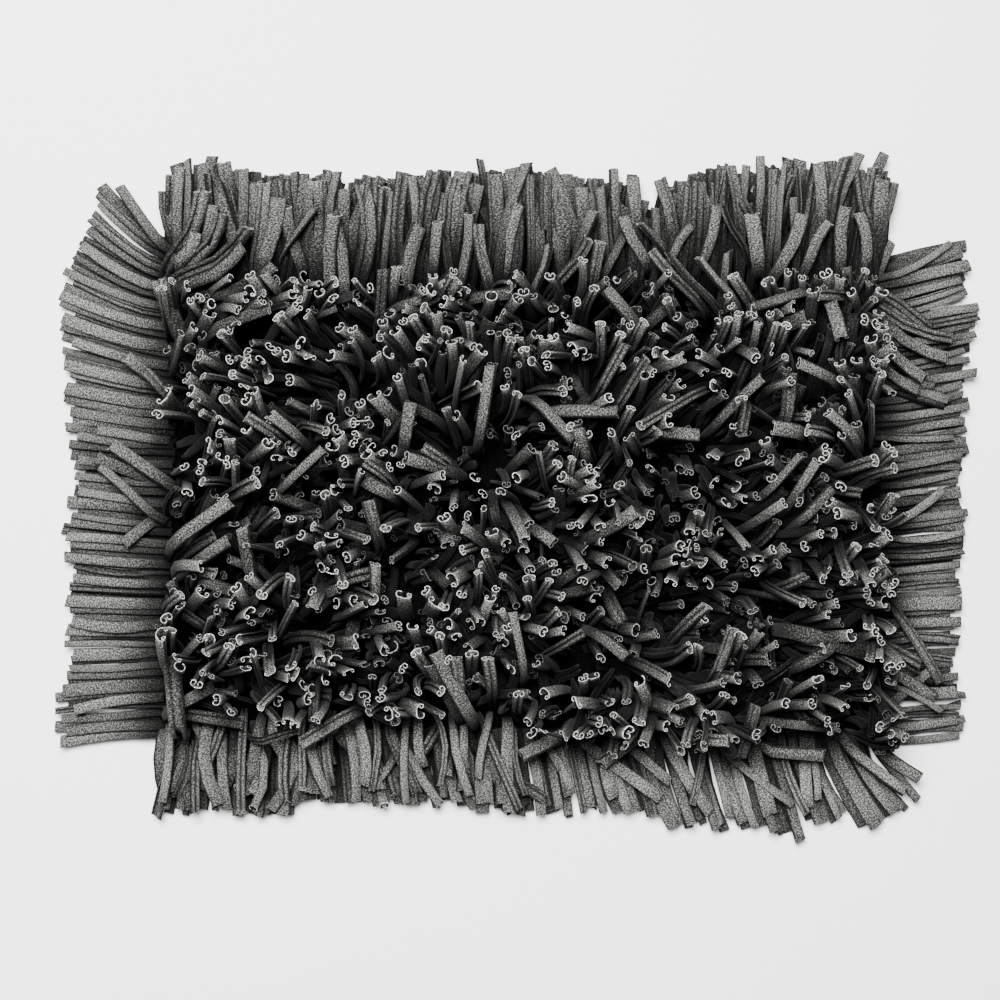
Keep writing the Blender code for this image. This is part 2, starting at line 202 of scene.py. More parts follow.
def strips(name, paths, across, widths, lit, curls, bevel, rng):
    """One mesh of many strips: each strip's profile is carried along its path.

    At each point of a path the profile stands square to the path, with its own x along the part of
    across that is square to it, at widths times its size. The end cut is a little oblique: it slides
    ahead by x times a slant, and back by the height over the strip's middle times a chance number between
    bevel's two, so that it faces up. What would be under PRESSED goes to PRESSED_SHARE of its depth below
    it, as a strip is flat where it lies on the floor.

    The map named cloth holds the distances across and along the flat cloth in metres, moved by a chance
    amount for each strip. The attribute tone is each strip's own chance tone, lit is the light that reaches
    a point, and open is how open its place in the profile is to the light: lit and open are painted shade,
    which the materials multiply into their colour.
    """
    count, sections = paths.shape[:2]
    kind = rng.choice(len(CURLS), count, p=curls)
    mirrored = rng.random(count) < 0.5
    rows = np.where(mirrored[:, None, None], MIRRORED[kind], PROFILES[kind])
    loops = rows[..., :2]
    slant = rng.normal(0, CUT_SLANT, count)
    ahead = unit(np.gradient(paths, axis=1))
    wide = unit(across - (across * ahead).sum(axis=2, keepdims=True) * ahead)
    thick = np.cross(ahead, wide)
    shape = loops[:, None] * widths[:, :, None, None]
    points = paths[:, :, None] + wide[:, :, None] * shape[..., :1] + thick[:, :, None] * shape[..., 1:]
    upper = loops[..., 1:] * np.sign(thick[:, -1, 2])[:, None, None] * rng.uniform(*bevel, (count, 1, 1))
    points[:, -1] += ahead[:, -1, None] * (loops[..., :1] * slant[:, None, None] - upper)
    height = points[..., 2]
    flattened = np.maximum(PRESSED - (PRESSED - height) * PRESSED_SHARE, LOWEST)
    points[..., 2] = np.where(height < PRESSED, flattened, height)

    ring = loops.shape[1]
    half = ring // 2
    here = np.arange(ring)
    after = (here + 1) % ring
    up = np.arange(sections - 1)[:, None] * ring
    sides = np.stack([up + here, up + after, up + ring + after, up + ring + here], axis=2).reshape(-1, 4)
    k = np.arange(half - 1)
    cap = np.stack([k, k + 1, ring - 2 - k, ring - 1 - k], axis=1)
    tip = cap + (sections - 1) * ring
    one = np.concatenate([sides, cap[:, ::-1], tip])
    quads = (one[None] + np.arange(count)[:, None, None] * sections * ring).reshape(-1, 4)

    is_cut = np.arange(len(one)) >= len(sides)
    far = np.concatenate([np.zeros((count, 1)), np.linalg.norm(np.diff(paths, axis=1), axis=2)], axis=1)
    far = np.cumsum(far, axis=1)
    shift = rng.uniform(0, 1, (count, 1, 1, 2))
    flat = np.stack(np.broadcast_arrays(rows[:, None, :, 2], far[:, :, None]), axis=3) + shift
    flat = flat.reshape(-1, 2)[quads]
    tone = np.repeat(rng.normal(0, 1, count), len(one))

    mesh = bpy.data.meshes.new(name)
    mesh.vertices.add(points.size // 3)
    mesh.vertices.foreach_set("co", points.astype(np.float32).ravel())
    mesh.loops.add(quads.size)
    mesh.loops.foreach_set("vertex_index", quads.astype(np.int32).ravel())
    mesh.polygons.add(len(quads))
    mesh.polygons.foreach_set("loop_start", np.arange(0, quads.size, 4, dtype=np.int32))
    mesh.polygons.foreach_set("material_index", np.tile(is_cut, count).astype(np.int32))
    mesh.polygons.foreach_set("use_smooth", np.tile(~is_cut, count))
    mesh.uv_layers.new(name="cloth").data.foreach_set("uv", flat.astype(np.float32).ravel())
    mesh.attributes.new("tone", "FLOAT", "FACE").data.foreach_set("value", tone.astype(np.float32))
    for attribute, values in (("lit", lit[:, :, None]), ("open", rows[:, None, :, 3])):
        values = np.broadcast_to(values, (count, sections, ring)).astype(np.float32).ravel()
        mesh.attributes.new(attribute, "FLOAT", "POINT").data.foreach_set("value", values)
    mesh.update(calc_edges=True)
    mesh.materials.append(jersey)
    mesh.materials.append(cut_edge)
    piece = bpy.data.objects.new(name, mesh)
    bpy.context.scene.collection.objects.link(piece)
    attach(piece, "root")
    return piece


# Heather jersey: a single knit of black and pale grey fibres spun together, so it is flecked, and it has no
# shine. Its stitches are about 0.7 mm. They are drawn as flecks 1 mm wide and 0.65 mm long, so that they
# show, in a pattern turned by 20 degrees, so that it doesn't line up with the strip. Shade is painted into
# its colour: a strip is drawn darker inside its rolled edges, at its sides and towards its root, where
# little light comes in, and there its flecks are drawn less pale, by the attributes lit and open.
FLECK = 0.85 * MM
FLECK_SQUEEZE = (0.85, 1.3, 1.0)  # the fleck's size is divided by these, across and along the strip
FLECK_TURN = 0.35
# FLECK_FALL is painted shade: where the attribute lit is low, the flecks are drawn less pale by this much.
FLECK_FALL = 0.05
TONE_SPREAD = 0.12
KNIT_RELIEF = 0.3 * MM
jersey, jersey_shader = new_material(
    "heather_jersey", Roughness=0.95, Specular_IOR_Level=0.06, Sheen_Weight=0.02, Sheen_Roughness=0.5
)
cloth_place = add_node(jersey, "ShaderNodeUVMap", {"uv_map": "cloth"})
slanted = add_node(
    jersey, "ShaderNodeMapping", inputs={"Rotation": (0, 0, FLECK_TURN), "Scale": FLECK_SQUEEZE},
    links={"Vector": cloth_place.outputs["UV"]},
)
flecks = add_node(
    jersey, "ShaderNodeTexNoise", {"noise_dimensions": "2D"},
    {"Scale": 1 / FLECK, "Detail": 2.0, "Roughness": 0.65, "Distortion": 0.4},
    {"Vector": slanted.outputs["Vector"]},
)
lit_share = add_node(jersey, "ShaderNodeAttribute", {"attribute_name": "lit"})
fleck_level = add_node(
    jersey, "ShaderNodeMath", {"operation": "MULTIPLY_ADD"}, {1: FLECK_FALL},
    {0: lit_share.outputs["Fac"], 2: flecks.outputs["Fac"]},
)
fleck_shift = add_node(
    jersey, "ShaderNodeMath", {"operation": "SUBTRACT"}, {1: FLECK_FALL}, {0: fleck_level.outputs[0]}
)
fleck_shades = add_node(jersey, "ShaderNodeValToRGB", links={"Fac": fleck_shift.outputs[0]})
fleck_shades.color_ramp.elements[0].position = 0.35
fleck_shades.color_ramp.elements[0].color = linear("#10100f")
fleck_shades.color_ramp.elements[1].position = 0.66
fleck_shades.color_ramp.elements[1].color = linear("#8a8a87")
fleck_shades.color_ramp.elements.new(0.5).color = linear("#3e3e3c")
strip_tone = add_node(jersey, "ShaderNodeAttribute", {"attribute_name": "tone"})
tone_gain = add_node(
    jersey, "ShaderNodeMath", {"operation": "MULTIPLY_ADD"}, {1: TONE_SPREAD, 2: 1.0},
    {0: strip_tone.outputs["Fac"]},
)
open_share = add_node(jersey, "ShaderNodeAttribute", {"attribute_name": "open"})
# The colour is scaled by the strip's chance tone, and by the painted shade in the attributes lit and open.
lit_gain = add_node(
    jersey, "ShaderNodeMath", {"operation": "MULTIPLY"},
    links={0: tone_gain.outputs[0], 1: lit_share.outputs["Fac"]},
)
tone_and_shade_gain = add_node(
    jersey, "ShaderNodeMath", {"operation": "MULTIPLY"},
    links={0: lit_gain.outputs[0], 1: open_share.outputs["Fac"]},
)
toned = add_node(
    jersey, "ShaderNodeVectorMath", {"operation": "SCALE"},
    links={0: fleck_shades.outputs["Color"], "Scale": tone_and_shade_gain.outputs[0]},
)
knit = add_node(
    jersey, "ShaderNodeBump", inputs={"Strength": 0.7, "Distance": KNIT_RELIEF},
    links={"Height": flecks.outputs["Fac"]},
)
jersey.node_tree.links.new(toned.outputs[0], jersey_shader.inputs["Base Color"])
jersey.node_tree.links.new(knit.outputs["Normal"], jersey_shader.inputs["Normal"])

# Cut edge: where a strip is cut, the pale cores of its yarns show, as a light frayed line.
YARN_END = 1 / 900  # metres, 1.1 mm: the length of one frayed end
cut_edge, cut_shader = new_material("cut_jersey_edge", Roughness=1.0, Specular_IOR_Level=0.06)
cut_place = add_node(cut_edge, "ShaderNodeTexCoord")
fray = add_node(
    cut_edge, "ShaderNodeTexNoise", inputs={"Scale": 1 / YARN_END, "Detail": 2.0},
    links={"Vector": cut_place.outputs["Object"]},
)
fray_shades = add_node(cut_edge, "ShaderNodeValToRGB", links={"Fac": fray.outputs["Fac"]})
fray_shades.color_ramp.elements[0].position = 0.35
fray_shades.color_ramp.elements[0].color = linear("#4c4c4b")
fray_shades.color_ramp.elements[1].position = 0.6
fray_shades.color_ramp.elements[1].color = linear("#cacac6")
# Painted shade: the cut edge is drawn darker where the attribute lit says little light comes in.
cut_lit = add_node(cut_edge, "ShaderNodeAttribute", {"attribute_name": "lit"})
cut_toned = add_node(
    cut_edge, "ShaderNodeVectorMath", {"operation": "SCALE"},
    links={0: fray_shades.outputs["Color"], "Scale": cut_lit.outputs["Fac"]},
)
cut_edge.node_tree.links.new(cut_toned.outputs[0], cut_shader.inputs["Base Color"])

# ---- Fringe: the outermost strips, knotted along the base's four edges. They come out over the edge, drop
# to the floor within 18 mm and lie there side by side at three heights, gathered in loose groups, with
# some single strips askew on top.

HALF_LENGTH = BASE_LENGTH / 2
HALF_WIDTH = BASE_WIDTH / 2
INNER_HALF = HALF_LENGTH - 8.3 * MM  # the front and back rows stop this far from the middle
LOWER_LAYER = 2.4 * MM  # height of a strip's middle
LAYER_STEP = 2.5 * MM
LOOSE_LAYER = 3.4  # in steps over the lower layer
RIM_RISE = 3.4 * MM  # how much higher a strip is where it comes over the base's rim
DROP_END = 0.3  # the share of its reach where it has come down
FAN_CURVE = 1.3
TIP_SWAY = 0.75  # times its side's sway, that a tip strays along the edge
REACH_SPREAD = (-0.09, 0.07)  # how much shorter or longer a strip's reach may be
ASKEW = 17 * MM  # how far a loose strip's tip strays, less so where the side begins
ASKEW_SHARES = ((0.05, 0.35), (0.35, 1))
LOOSE_REACH = (0.55, 0.9)
TIP_LIFT = 1.5 * MM
FRINGE_TILT = 9  # degrees
FRINGE_FACE_DOWN = 0.82  # the share of strips whose rolled edges are underneath
FRINGE_WIDTH_SPREAD = 0.15
FRINGE_WIDTH_LIMITS = (0.55, 1.35)
KNOT_WIDTHS = ((-0.2, 0.3), (0.85, 1.0))  # shares of its reach, and how the knot narrows the strip there
FRINGE_SHARES = np.array([-0.16, 0.06, 0.24, 0.48, 0.74, 1.0])

# Along an edge, x runs to the right and y to the back, in millimetres. A group's strips spread from
# tip_from to tip_to, and reach_from to reach_to past the base's edge.
Group = collections.namedtuple("Group", "strips tip_from tip_to reach_from reach_to")

# A side's strips are rooted along the base's edge from start on, over length, and lie out from it. Width
# is their mean share of their curls' widths, sway is how far they bow, in millimetres, and loose is how
# many lie on top.
Side = collections.namedtuple("Side", "start along out length width sway loose groups")
SIDES = {
    "fringe_left": Side((-HALF_LENGTH, HALF_WIDTH), (0, -1), (-1, 0), BASE_WIDTH, 0.8, 0.9, 4, (
        Group(11, 181, 127, 38, 57),
        Group(24, 122, 14, 59, 52),
        Group(5, 11, -3, 49, 47),
        Group(9, -6, -39, 51, 54),
        Group(17, -43, -113, 51, 48),
        Group(9, -117, -150, 53, 54),
    )),
    "fringe_right": Side((HALF_LENGTH, HALF_WIDTH), (0, -1), (1, 0), BASE_WIDTH, 0.7, 1.5, 9, (
        Group(11, 160, 127, 53, 56),
        Group(9, 121, 92, 61, 53),
        Group(22, 87, 11, 55, 49),
        Group(20, 7, -63, 49, 45),
        Group(15, -67, -117, 43, 41),
        Group(8, -120, -141, 47, 43),
    )),
    "fringe_back": Side((-INNER_HALF, HALF_WIDTH), (1, 0), (0, 1), 2 * INNER_HALF, 0.8, 1.6, 16, (
        Group(13, -214, -148, 46, 46),
        Group(18, -143, -60, 42, 43),
        Group(14, -56, 5, 45, 50),
        Group(11, 9, 62, 44, 47),
        Group(2, 68, 75, 32, 30),
        Group(7, 83, 112, 42, 52),
        Group(17, 117, 201, 54, 60),
        Group(4, 207, 221, 57, 59),
    )),
    "fringe_front": Side((-INNER_HALF, -HALF_WIDTH), (1, 0), (0, -1), 2 * INNER_HALF, 0.82, 1.6, 30, (
        Group(18, -209, -137, 43, 43),
        Group(23, -133, -40, 37, 38),
        Group(21, -37, 47, 40, 43),
        Group(8, 57, 81, 40, 44),
        Group(14, 88, 140, 49, 49),
        Group(6, 144, 166, 48, 57),
        Group(6, 171, 193, 47, 44),
        Group(8, 203, 234, 49, 36),
    )),
}


def fringe_paths(side, rng):
    """Each strip's path, its width direction and its widths along it, for one side of the mat.

    At a share s of its reach a strip has gone s^FAN_CURVE of the way from its root to its tip along the
    edge, and it bows by half a sine wave. Its middle's height falls from the base's rim to its layer as a
    smooth step, 3 d^2 - 2 d^3, and its tip may lift a little. Loose strips lie on top of the others, askew
    and shorter.
    """
    rows = []
    for group in side.groups:
        share = np.linspace(0, 1, group.strips)
        tip = group.tip_from + (group.tip_to - group.tip_from) * share
        reach = group.reach_from + (group.reach_to - group.reach_from) * share
        rows.append(np.stack([tip, reach], axis=1))
    tips = np.concatenate(rows) * MM
    even = len(tips)
    root = (np.arange(even) + 0.5) * side.length / even
    tip = tips[:, 0] * sum(side.along) - np.dot(side.start, side.along)
    tip = tip + rng.normal(0, TIP_SWAY * side.sway * MM, even)
    reach = tips[:, 1] * (1 + rng.uniform(*REACH_SPREAD, even))
    loose_root = (np.arange(side.loose) + rng.uniform(0, 1, side.loose)) * side.length / side.loose
    askew = ASKEW * np.interp(loose_root / side.length, *ASKEW_SHARES)
    loose_tip = np.interp(loose_root, root, tip) + rng.normal(0, 1, side.loose) * askew
    loose_tip = np.clip(loose_tip, tip.min(), tip.max())
    loose_reach = np.interp(loose_root, root, reach) * rng.uniform(*LOOSE_REACH, side.loose)
    root, tip = np.concatenate([root, loose_root]), np.concatenate([tip, loose_tip])
    reach = np.concatenate([reach, loose_reach])
    count = len(root)
    column = np.arange(count)
    s = FRINGE_SHARES[None]
    turned = np.sign(s) * np.abs(s) ** FAN_CURVE
    bow = rng.normal(0, side.sway * MM, (count, 1)) * np.sin(math.pi * np.clip(s, 0, 1))
    along = root[:, None] + (tip - root)[:, None] * turned + bow
    out = reach[:, None] * s
    layer = LOWER_LAYER + LAYER_STEP * np.where(column < even, 2 * column % 3, LOOSE_LAYER)[:, None]
    drop = np.clip(1 - s / DROP_END, 0, 1)
    drop = drop * drop * (3 - 2 * drop)
    lift = np.maximum(rng.normal(0, TIP_LIFT, (count, 1)), 0) * np.clip(s, 0, 1) ** 2
    height = layer + RIM_RISE * drop + lift
    run, way = np.array((*side.along, 0.0)), np.array((*side.out, 0.0))
    corner = np.array((*side.start, 0.0))
    paths = corner + along[..., None] * run + out[..., None] * way + height[..., None] * (0, 0, 1)
    tilt = np.radians(rng.normal(0, FRINGE_TILT, count))[:, None, None]
    face_down = -np.cross(way, run)[2]
    flipped = np.where(rng.random(count) < FRINGE_FACE_DOWN, face_down, -face_down)[:, None, None]
    across = (run * np.cos(tilt) + np.array((0, 0, 1.0)) * np.sin(tilt)) * flipped
    widths = rng.normal(side.width, FRINGE_WIDTH_SPREAD, count)[:, None]
    widths = widths * np.interp(FRINGE_SHARES, *KNOT_WIDTHS)
    return paths, across, np.clip(widths, *FRINGE_WIDTH_LIMITS)


fringe = {}
for seed, (name, side) in enumerate(SIDES.items()):
    fringe[name] = fringe_paths(side, np.random.default_rng(seed))

# ---- Pile: about two thousand strips of the same jersey, knotted through the base in staggered rows with
# 8.5 mm between neighbours. They stand up from it, crowd each other and lean in tufts. The rows along the
# back edge and along the left half of the front edge are combed flat over the fringe.

PILE_SEED = 5
ROOT_PITCH = 8.5 * MM
ROOT_JITTER = 0.28  # in pitches
LATTICE_MARGIN = 4 * MM
ROOT_MARGIN = 5 * MM  # no root is nearer than this to the base's edge
ROOT_HEIGHT = BASE_TOP + 1 * MM
TUFT_PITCH = 26 * MM
TUFT_JITTER = 0.35
STRIP_LENGTH = 51 * MM
LENGTH_SPREAD = (0.84, 1.12)
STRIP_THICK = 4.4 * MM
STRIP_RADIUS = 2.4 * MM  # half the room that a strip needs, as it is pressed by its neighbours
PATH_POINTS = 7
PATH_SHARES = np.linspace(0, 1, PATH_POINTS)
PILE_TOP = 50 * MM  # about the highest that the middle of a strip comes

# How a strip leans: by the chart, with its tuft, a little on its own account, and out of the hollows. A
# lean of 1 is FULL_TILT from upright, and a strip keeps closer to the chart the further it leans.
FULL_TILT = math.radians(57)
OVER = 32 * MM  # about how far sideways the tip of a strip with a lean of 1 comes
MOST_LEAN = 1.57  # level
CHART_GAIN = 1.15
TUFT_LEAN = 0.32
OWN_LEAN = (0.46, 0.38)
HOLLOW_LEAN = 0.5
KEPT_ORDER = 0.62  # how much less chance there is in a lean of ORDERLY_LEAN than in none
ORDERLY_LEAN = 1.2
FLAT_FROM = 0.9  # the lean past which a strip starts to lie flat
FLAT_RANGE = 0.6
HOOK_LOSS = 0.7
STRAIGHT_TILT = 0.85  # times its lean's tilt, all along a straight strip
FLAT_TILT = 0.15  # added to that where it lies flat
HOOK_TILT = 1.5  # times its tilt, at the tip of a strip that is all hook
MOST_TILT = math.radians(92)
HOLLOW_SHORTER = 0.6
PILE_BOW = 2.5 * MM

# How far out the tips of standing strips come, in millimetres: places along each side of the mat, and the
# limit at each.
FRONT_TIPS = ((-190, -90, -30, 0), (-132, -131, -132, -142))
BACK_TIPS = ((-195, -136, -60, 0, 45, 100, 160), (98, 107, 110, 118, 124, 116, 122))
LEFT_TIPS = ((-110, -95, -45, 0, 60), (-212, -204, -206, -211, -214))
RIGHT_TIPS = ((-90, -60, 0, 40), (208, 203, 205, 203))
TIP_SLACK = 3  # millimetres that a bowed strip may pass the left and right limits

# The rows combed over the fringe: those behind BACK_ROWS, and those before FRONT_ROWS that are left of
# FRONT_END. Their tips spread along the edge and stop short of the fringe's by some millimetres, more so
# for those that go astray. They lie highest where they are rooted furthest in.
FRONT_SEED = 6
BACK_ROWS = 113 * MM
FRONT_ROWS = -129 * MM
FRONT_END = -8 * MM
COMB_SPREAD = (4, 14)  # millimetres, for a combed tip and for one that goes astray
COMB_SHORT = (-3, 9)  # millimetres
ASTRAY_SHORT = 2.5  # times that
COMB_BEYOND = 5 * MM  # how far a tip may come past the fringe's first and last
COMB_BOW = 1.6
COMB_LOW = 4  # millimetres, as the next two: the height at the edge, and what is added further in
BACK_HIGH = 13
FRONT_HIGH = 9
COMB_RISE = ((0, 0.17, 0.33, 0.6, 1), (0, 0.75, 1, 0.9, 0.45))  # shares of the way, and of the height
UNRULY_FROM = 60 * MM  # right of this, more of the back rows go astray
BACK_ASTRAY = (0.25, 0.5)  # the shares that do so left and right of it
FRONT_ASTRAY = 0.45

# The way the pile leans, charted over the mat: a strip rooted at x, y, in millimetres, leans by lean_x to
# the right and lean_y to the back.
Lean = collections.namedtuple("Lean", "x y lean_x lean_y")
LEANS = (
    Lean(-211, 109, 0.69, 1.1),
    Lean(-177, 111, 0.8, 0.96),
    Lean(-133, 105, 0.3, 0.5),
    Lean(-96, 105, -0.3, 0.3),
    Lean(-60, 106, 0.5, 0.5),
    Lean(-26, 107, 0.5, 0.4),
    Lean(16, 110, -0.5, 0.5),
    Lean(41, 111, 0.5, 0.4),
    Lean(94, 114, -0.6, 0.6),
    Lean(119, 112, 0.3, 0.2),
    Lean(155, 114, 0.1, 0.3),
    Lean(184, 117, 0.3, 0.6),
    Lean(-197, 82, -0.2, 0.3),
    Lean(-166, 84, 0.1, 0.2),
    Lean(-118, 84, -0.8, 0.4),
    Lean(-95, 85, 0, 0.3),
    Lean(-51, 84, -0.6, 0.5),
    Lean(-16, 95, -0.6, -0.2),
    Lean(18, 86, -0.5, 0.5),
    Lean(51, 85, -0.3, 0.6),
    Lean(77, 91, 0.3, 0.2),
    Lean(117, 92, 0, 0.15),
    Lean(159, 90, -0.3, 0.4),
    Lean(180, 89, 0.6, 0.6),
    Lean(-192, 45, -0.5, 0.7),
    Lean(-156, 49, -0.6, 0.5),
    Lean(-116, 56, -0.9, 0.1),
    Lean(-93, 52, -0.1, 0.3),
    Lean(-60, 51, 0, 0.5),
    Lean(-26, 48, 0.1, 0.8),
    Lean(18, 55, -0.5, 0.3),
    Lean(38, 51, 0.6, 0.7),
    Lean(73, 52, 0.7, 0.7),
    Lean(113, 52, 0.4, 0.7),
    Lean(155, 52, 0, 0.8),
    Lean(195, 57, -0.5, 0.5),
    Lean(-199, 15, 0.1, 0.5),
    Lean(-153, 18, -0.7, 0.4),
    Lean(-133, 19, 0.3, 0.3),
    Lean(-94, 20, 0, 0.3),
    Lean(-47, 22, -0.8, 0.3),
    Lean(-27, 26, 0.2, 0),
    Lean(4, 30, 0.5, -0.2),
    Lean(51, 23, -0.3, 0.3),
    Lean(72, 26, 0.7, 0.2),
    Lean(116, 33, 0.1, -0.3),
    Lean(163, 27, -0.6, 0.2),
    Lean(195, 25, -0.5, 0.4),
    Lean(-200, -14, 0.2, 0.3),
    Lean(-166, -18, 0.2, 0.6),
    Lean(-133, -8, 0.3, 0),
    Lean(-88, -13, -0.4, 0.4),
    Lean(-60, 4, 0.1, -0.7),
    Lean(-31, -3, 0.5, -0.2),
    Lean(8, -12, 0.2, 0.4),
    Lean(44, -7, 0.1, 0.1),
    Lean(85, 3, -0.2, -0.5),
    Lean(117, 7, 0.1, -0.7),
    Lean(143, -11, 0.8, 0.6),
    Lean(179, 2, 0.5, -0.3),
    Lean(-209, -48, 0.8, 0.5),
    Lean(-162, -50, 0, 0.6),
    Lean(-129, -42, 0.1, 0.1),
    Lean(-91, -44, -0.1, 0.3),
    Lean(-61, -38, 0.2, -0.1),
    Lean(-21, -40, -0.2, 0.1),
    Lean(4, -32, 0.5, -0.4),
    Lean(42, -39, 0.3, 0.1),
    Lean(77, -31, 0.3, -0.4),
    Lean(115, -37, 0.1, 0),
    Lean(146, -31, 0.5, -0.3),
    Lean(180, -32, 0.22, -0.2),
    Lean(-209, -68, 0.9, -0.3),
    Lean(-167, -72, 0.4, 0),
    Lean(-128, -74, 0.1, 0.1),
    Lean(-86, -67, -0.4, -0.3),
    Lean(-58, -73, 0, 0.1),
    Lean(-23, -74, 0, 0.2),
    Lean(15, -77, -0.2, 0.5),
    Lean(34, -64, 0.9, -0.3),
    Lean(79, -61, 0.2, -0.5),
    Lean(106, -62, 0.8, -0.4),
    Lean(146, -68, 0.4, 0),
    Lean(173, -70, 0.5, 0.2),
    Lean(-197, -113, 0.2, 0.15),
    Lean(-165, -110, 0.2, 0),
    Lean(-134, -108, 0.3, 0),
    Lean(-101, -98, 0.6, -0.3),
    Lean(-53, -111, -0.3, 0.6),
    Lean(-23, -111, 0, 0.6),
    Lean(19, -105, -0.5, 0.2),
    Lean(38, -93, 0.6, -0.5),
    Lean(77, -104, 0.3, 0.2),
    Lean(107, -103, 0.7, 0.2),
    Lean(142, -100, 0.7, 0),
    Lean(172, -95, 0.55, -0.3),
    Lean(-207, -140, 0.45, 0.1),
    Lean(-173, -136, 0.4, -0.3),
    Lean(-125, -138, 0, -0.3),
    Lean(-87, -142, -0.15, -0.2),
    Lean(-49, -147, -0.2, -0.2),
    Lean(-23, -128, 0, -0.28),
    Lean(16, -133, -0.24, 0),
    Lean(50, -125, -0.16, -0.35),
    Lean(77, -126, 0.24, -0.28),
    Lean(111, -138, 0.32, 0.28),
    Lean(139, -132, 0.8, 0),
    Lean(171, -128, 0.44, -0.14),
    Lean(-217, 146, 0.17, 1.6),
    Lean(-169, 147, 0.11, 1.7),
    Lean(-120, 148, -0.11, 1.7),
    Lean(-72, 150, 0.06, 1.7),
    Lean(-23, 151, 0.11, 1.7),
    Lean(26, 152, 0.11, 1.7),
    Lean(75, 154, -0.29, 1.6),
    Lean(125, 155, 0.23, 1.6),
    Lean(175, 157, 0, 1.7),
    Lean(207, 158, 0.07, 1.6),
    Lean(-215, 113, 0.23, 0.6),
    Lean(-214, 82, 0.1, 0.6),
    Lean(-213, 52, 0.2, 0.4),
    Lean(-212, 22, 0.4, 0.3),
    Lean(-211, -8, 0.2, 0.2),
    Lean(-210, -38, 0.7, 0.4),
    Lean(-210, -68, 0.9, -0.2),
    Lean(-209, -97, 0.3, 0.6),
    Lean(-208, -126, 0.3, -0.1),
    Lean(215, 124, 0.17, 0.6),
    Lean(214, 93, 0.09, 0.4),
    Lean(214, 62, 0.06, 0.2),
    Lean(213, 31, 0.09, 0.1),
    Lean(213, 0, 0.06, -0.1),
    Lean(212, -31, 0.06, -0.2),
    Lean(212, -61, 0.12, 0),
    Lean(211, -92, 0.18, -0.4),
    Lean(211, -122, 0.07, -0.42),
    Lean(-208, -145, 0.1, -0.21),
    Lean(-173, -145, 0.3, -0.14),
    Lean(-138, -145, 0.25, -0.14),
    Lean(-103, -144, 0.25, 0.1),
    Lean(-67, -144, 0.05, -0.1),
    Lean(-32, -144, 0.1, -0.21),
    Lean(4, -143, 0, -0.21),
    Lean(39, -143, -0.35, -0.17),
    Lean(75, -143, -0.3, -0.21),
    Lean(111, -142, 0.1, -0.28),
    Lean(148, -142, 0.25, -0.21),
    Lean(184, -142, 0.22, -0.1),
    Lean(208, -141, 0.07, -0.24),
)
LEAN_REACH = 17 * MM

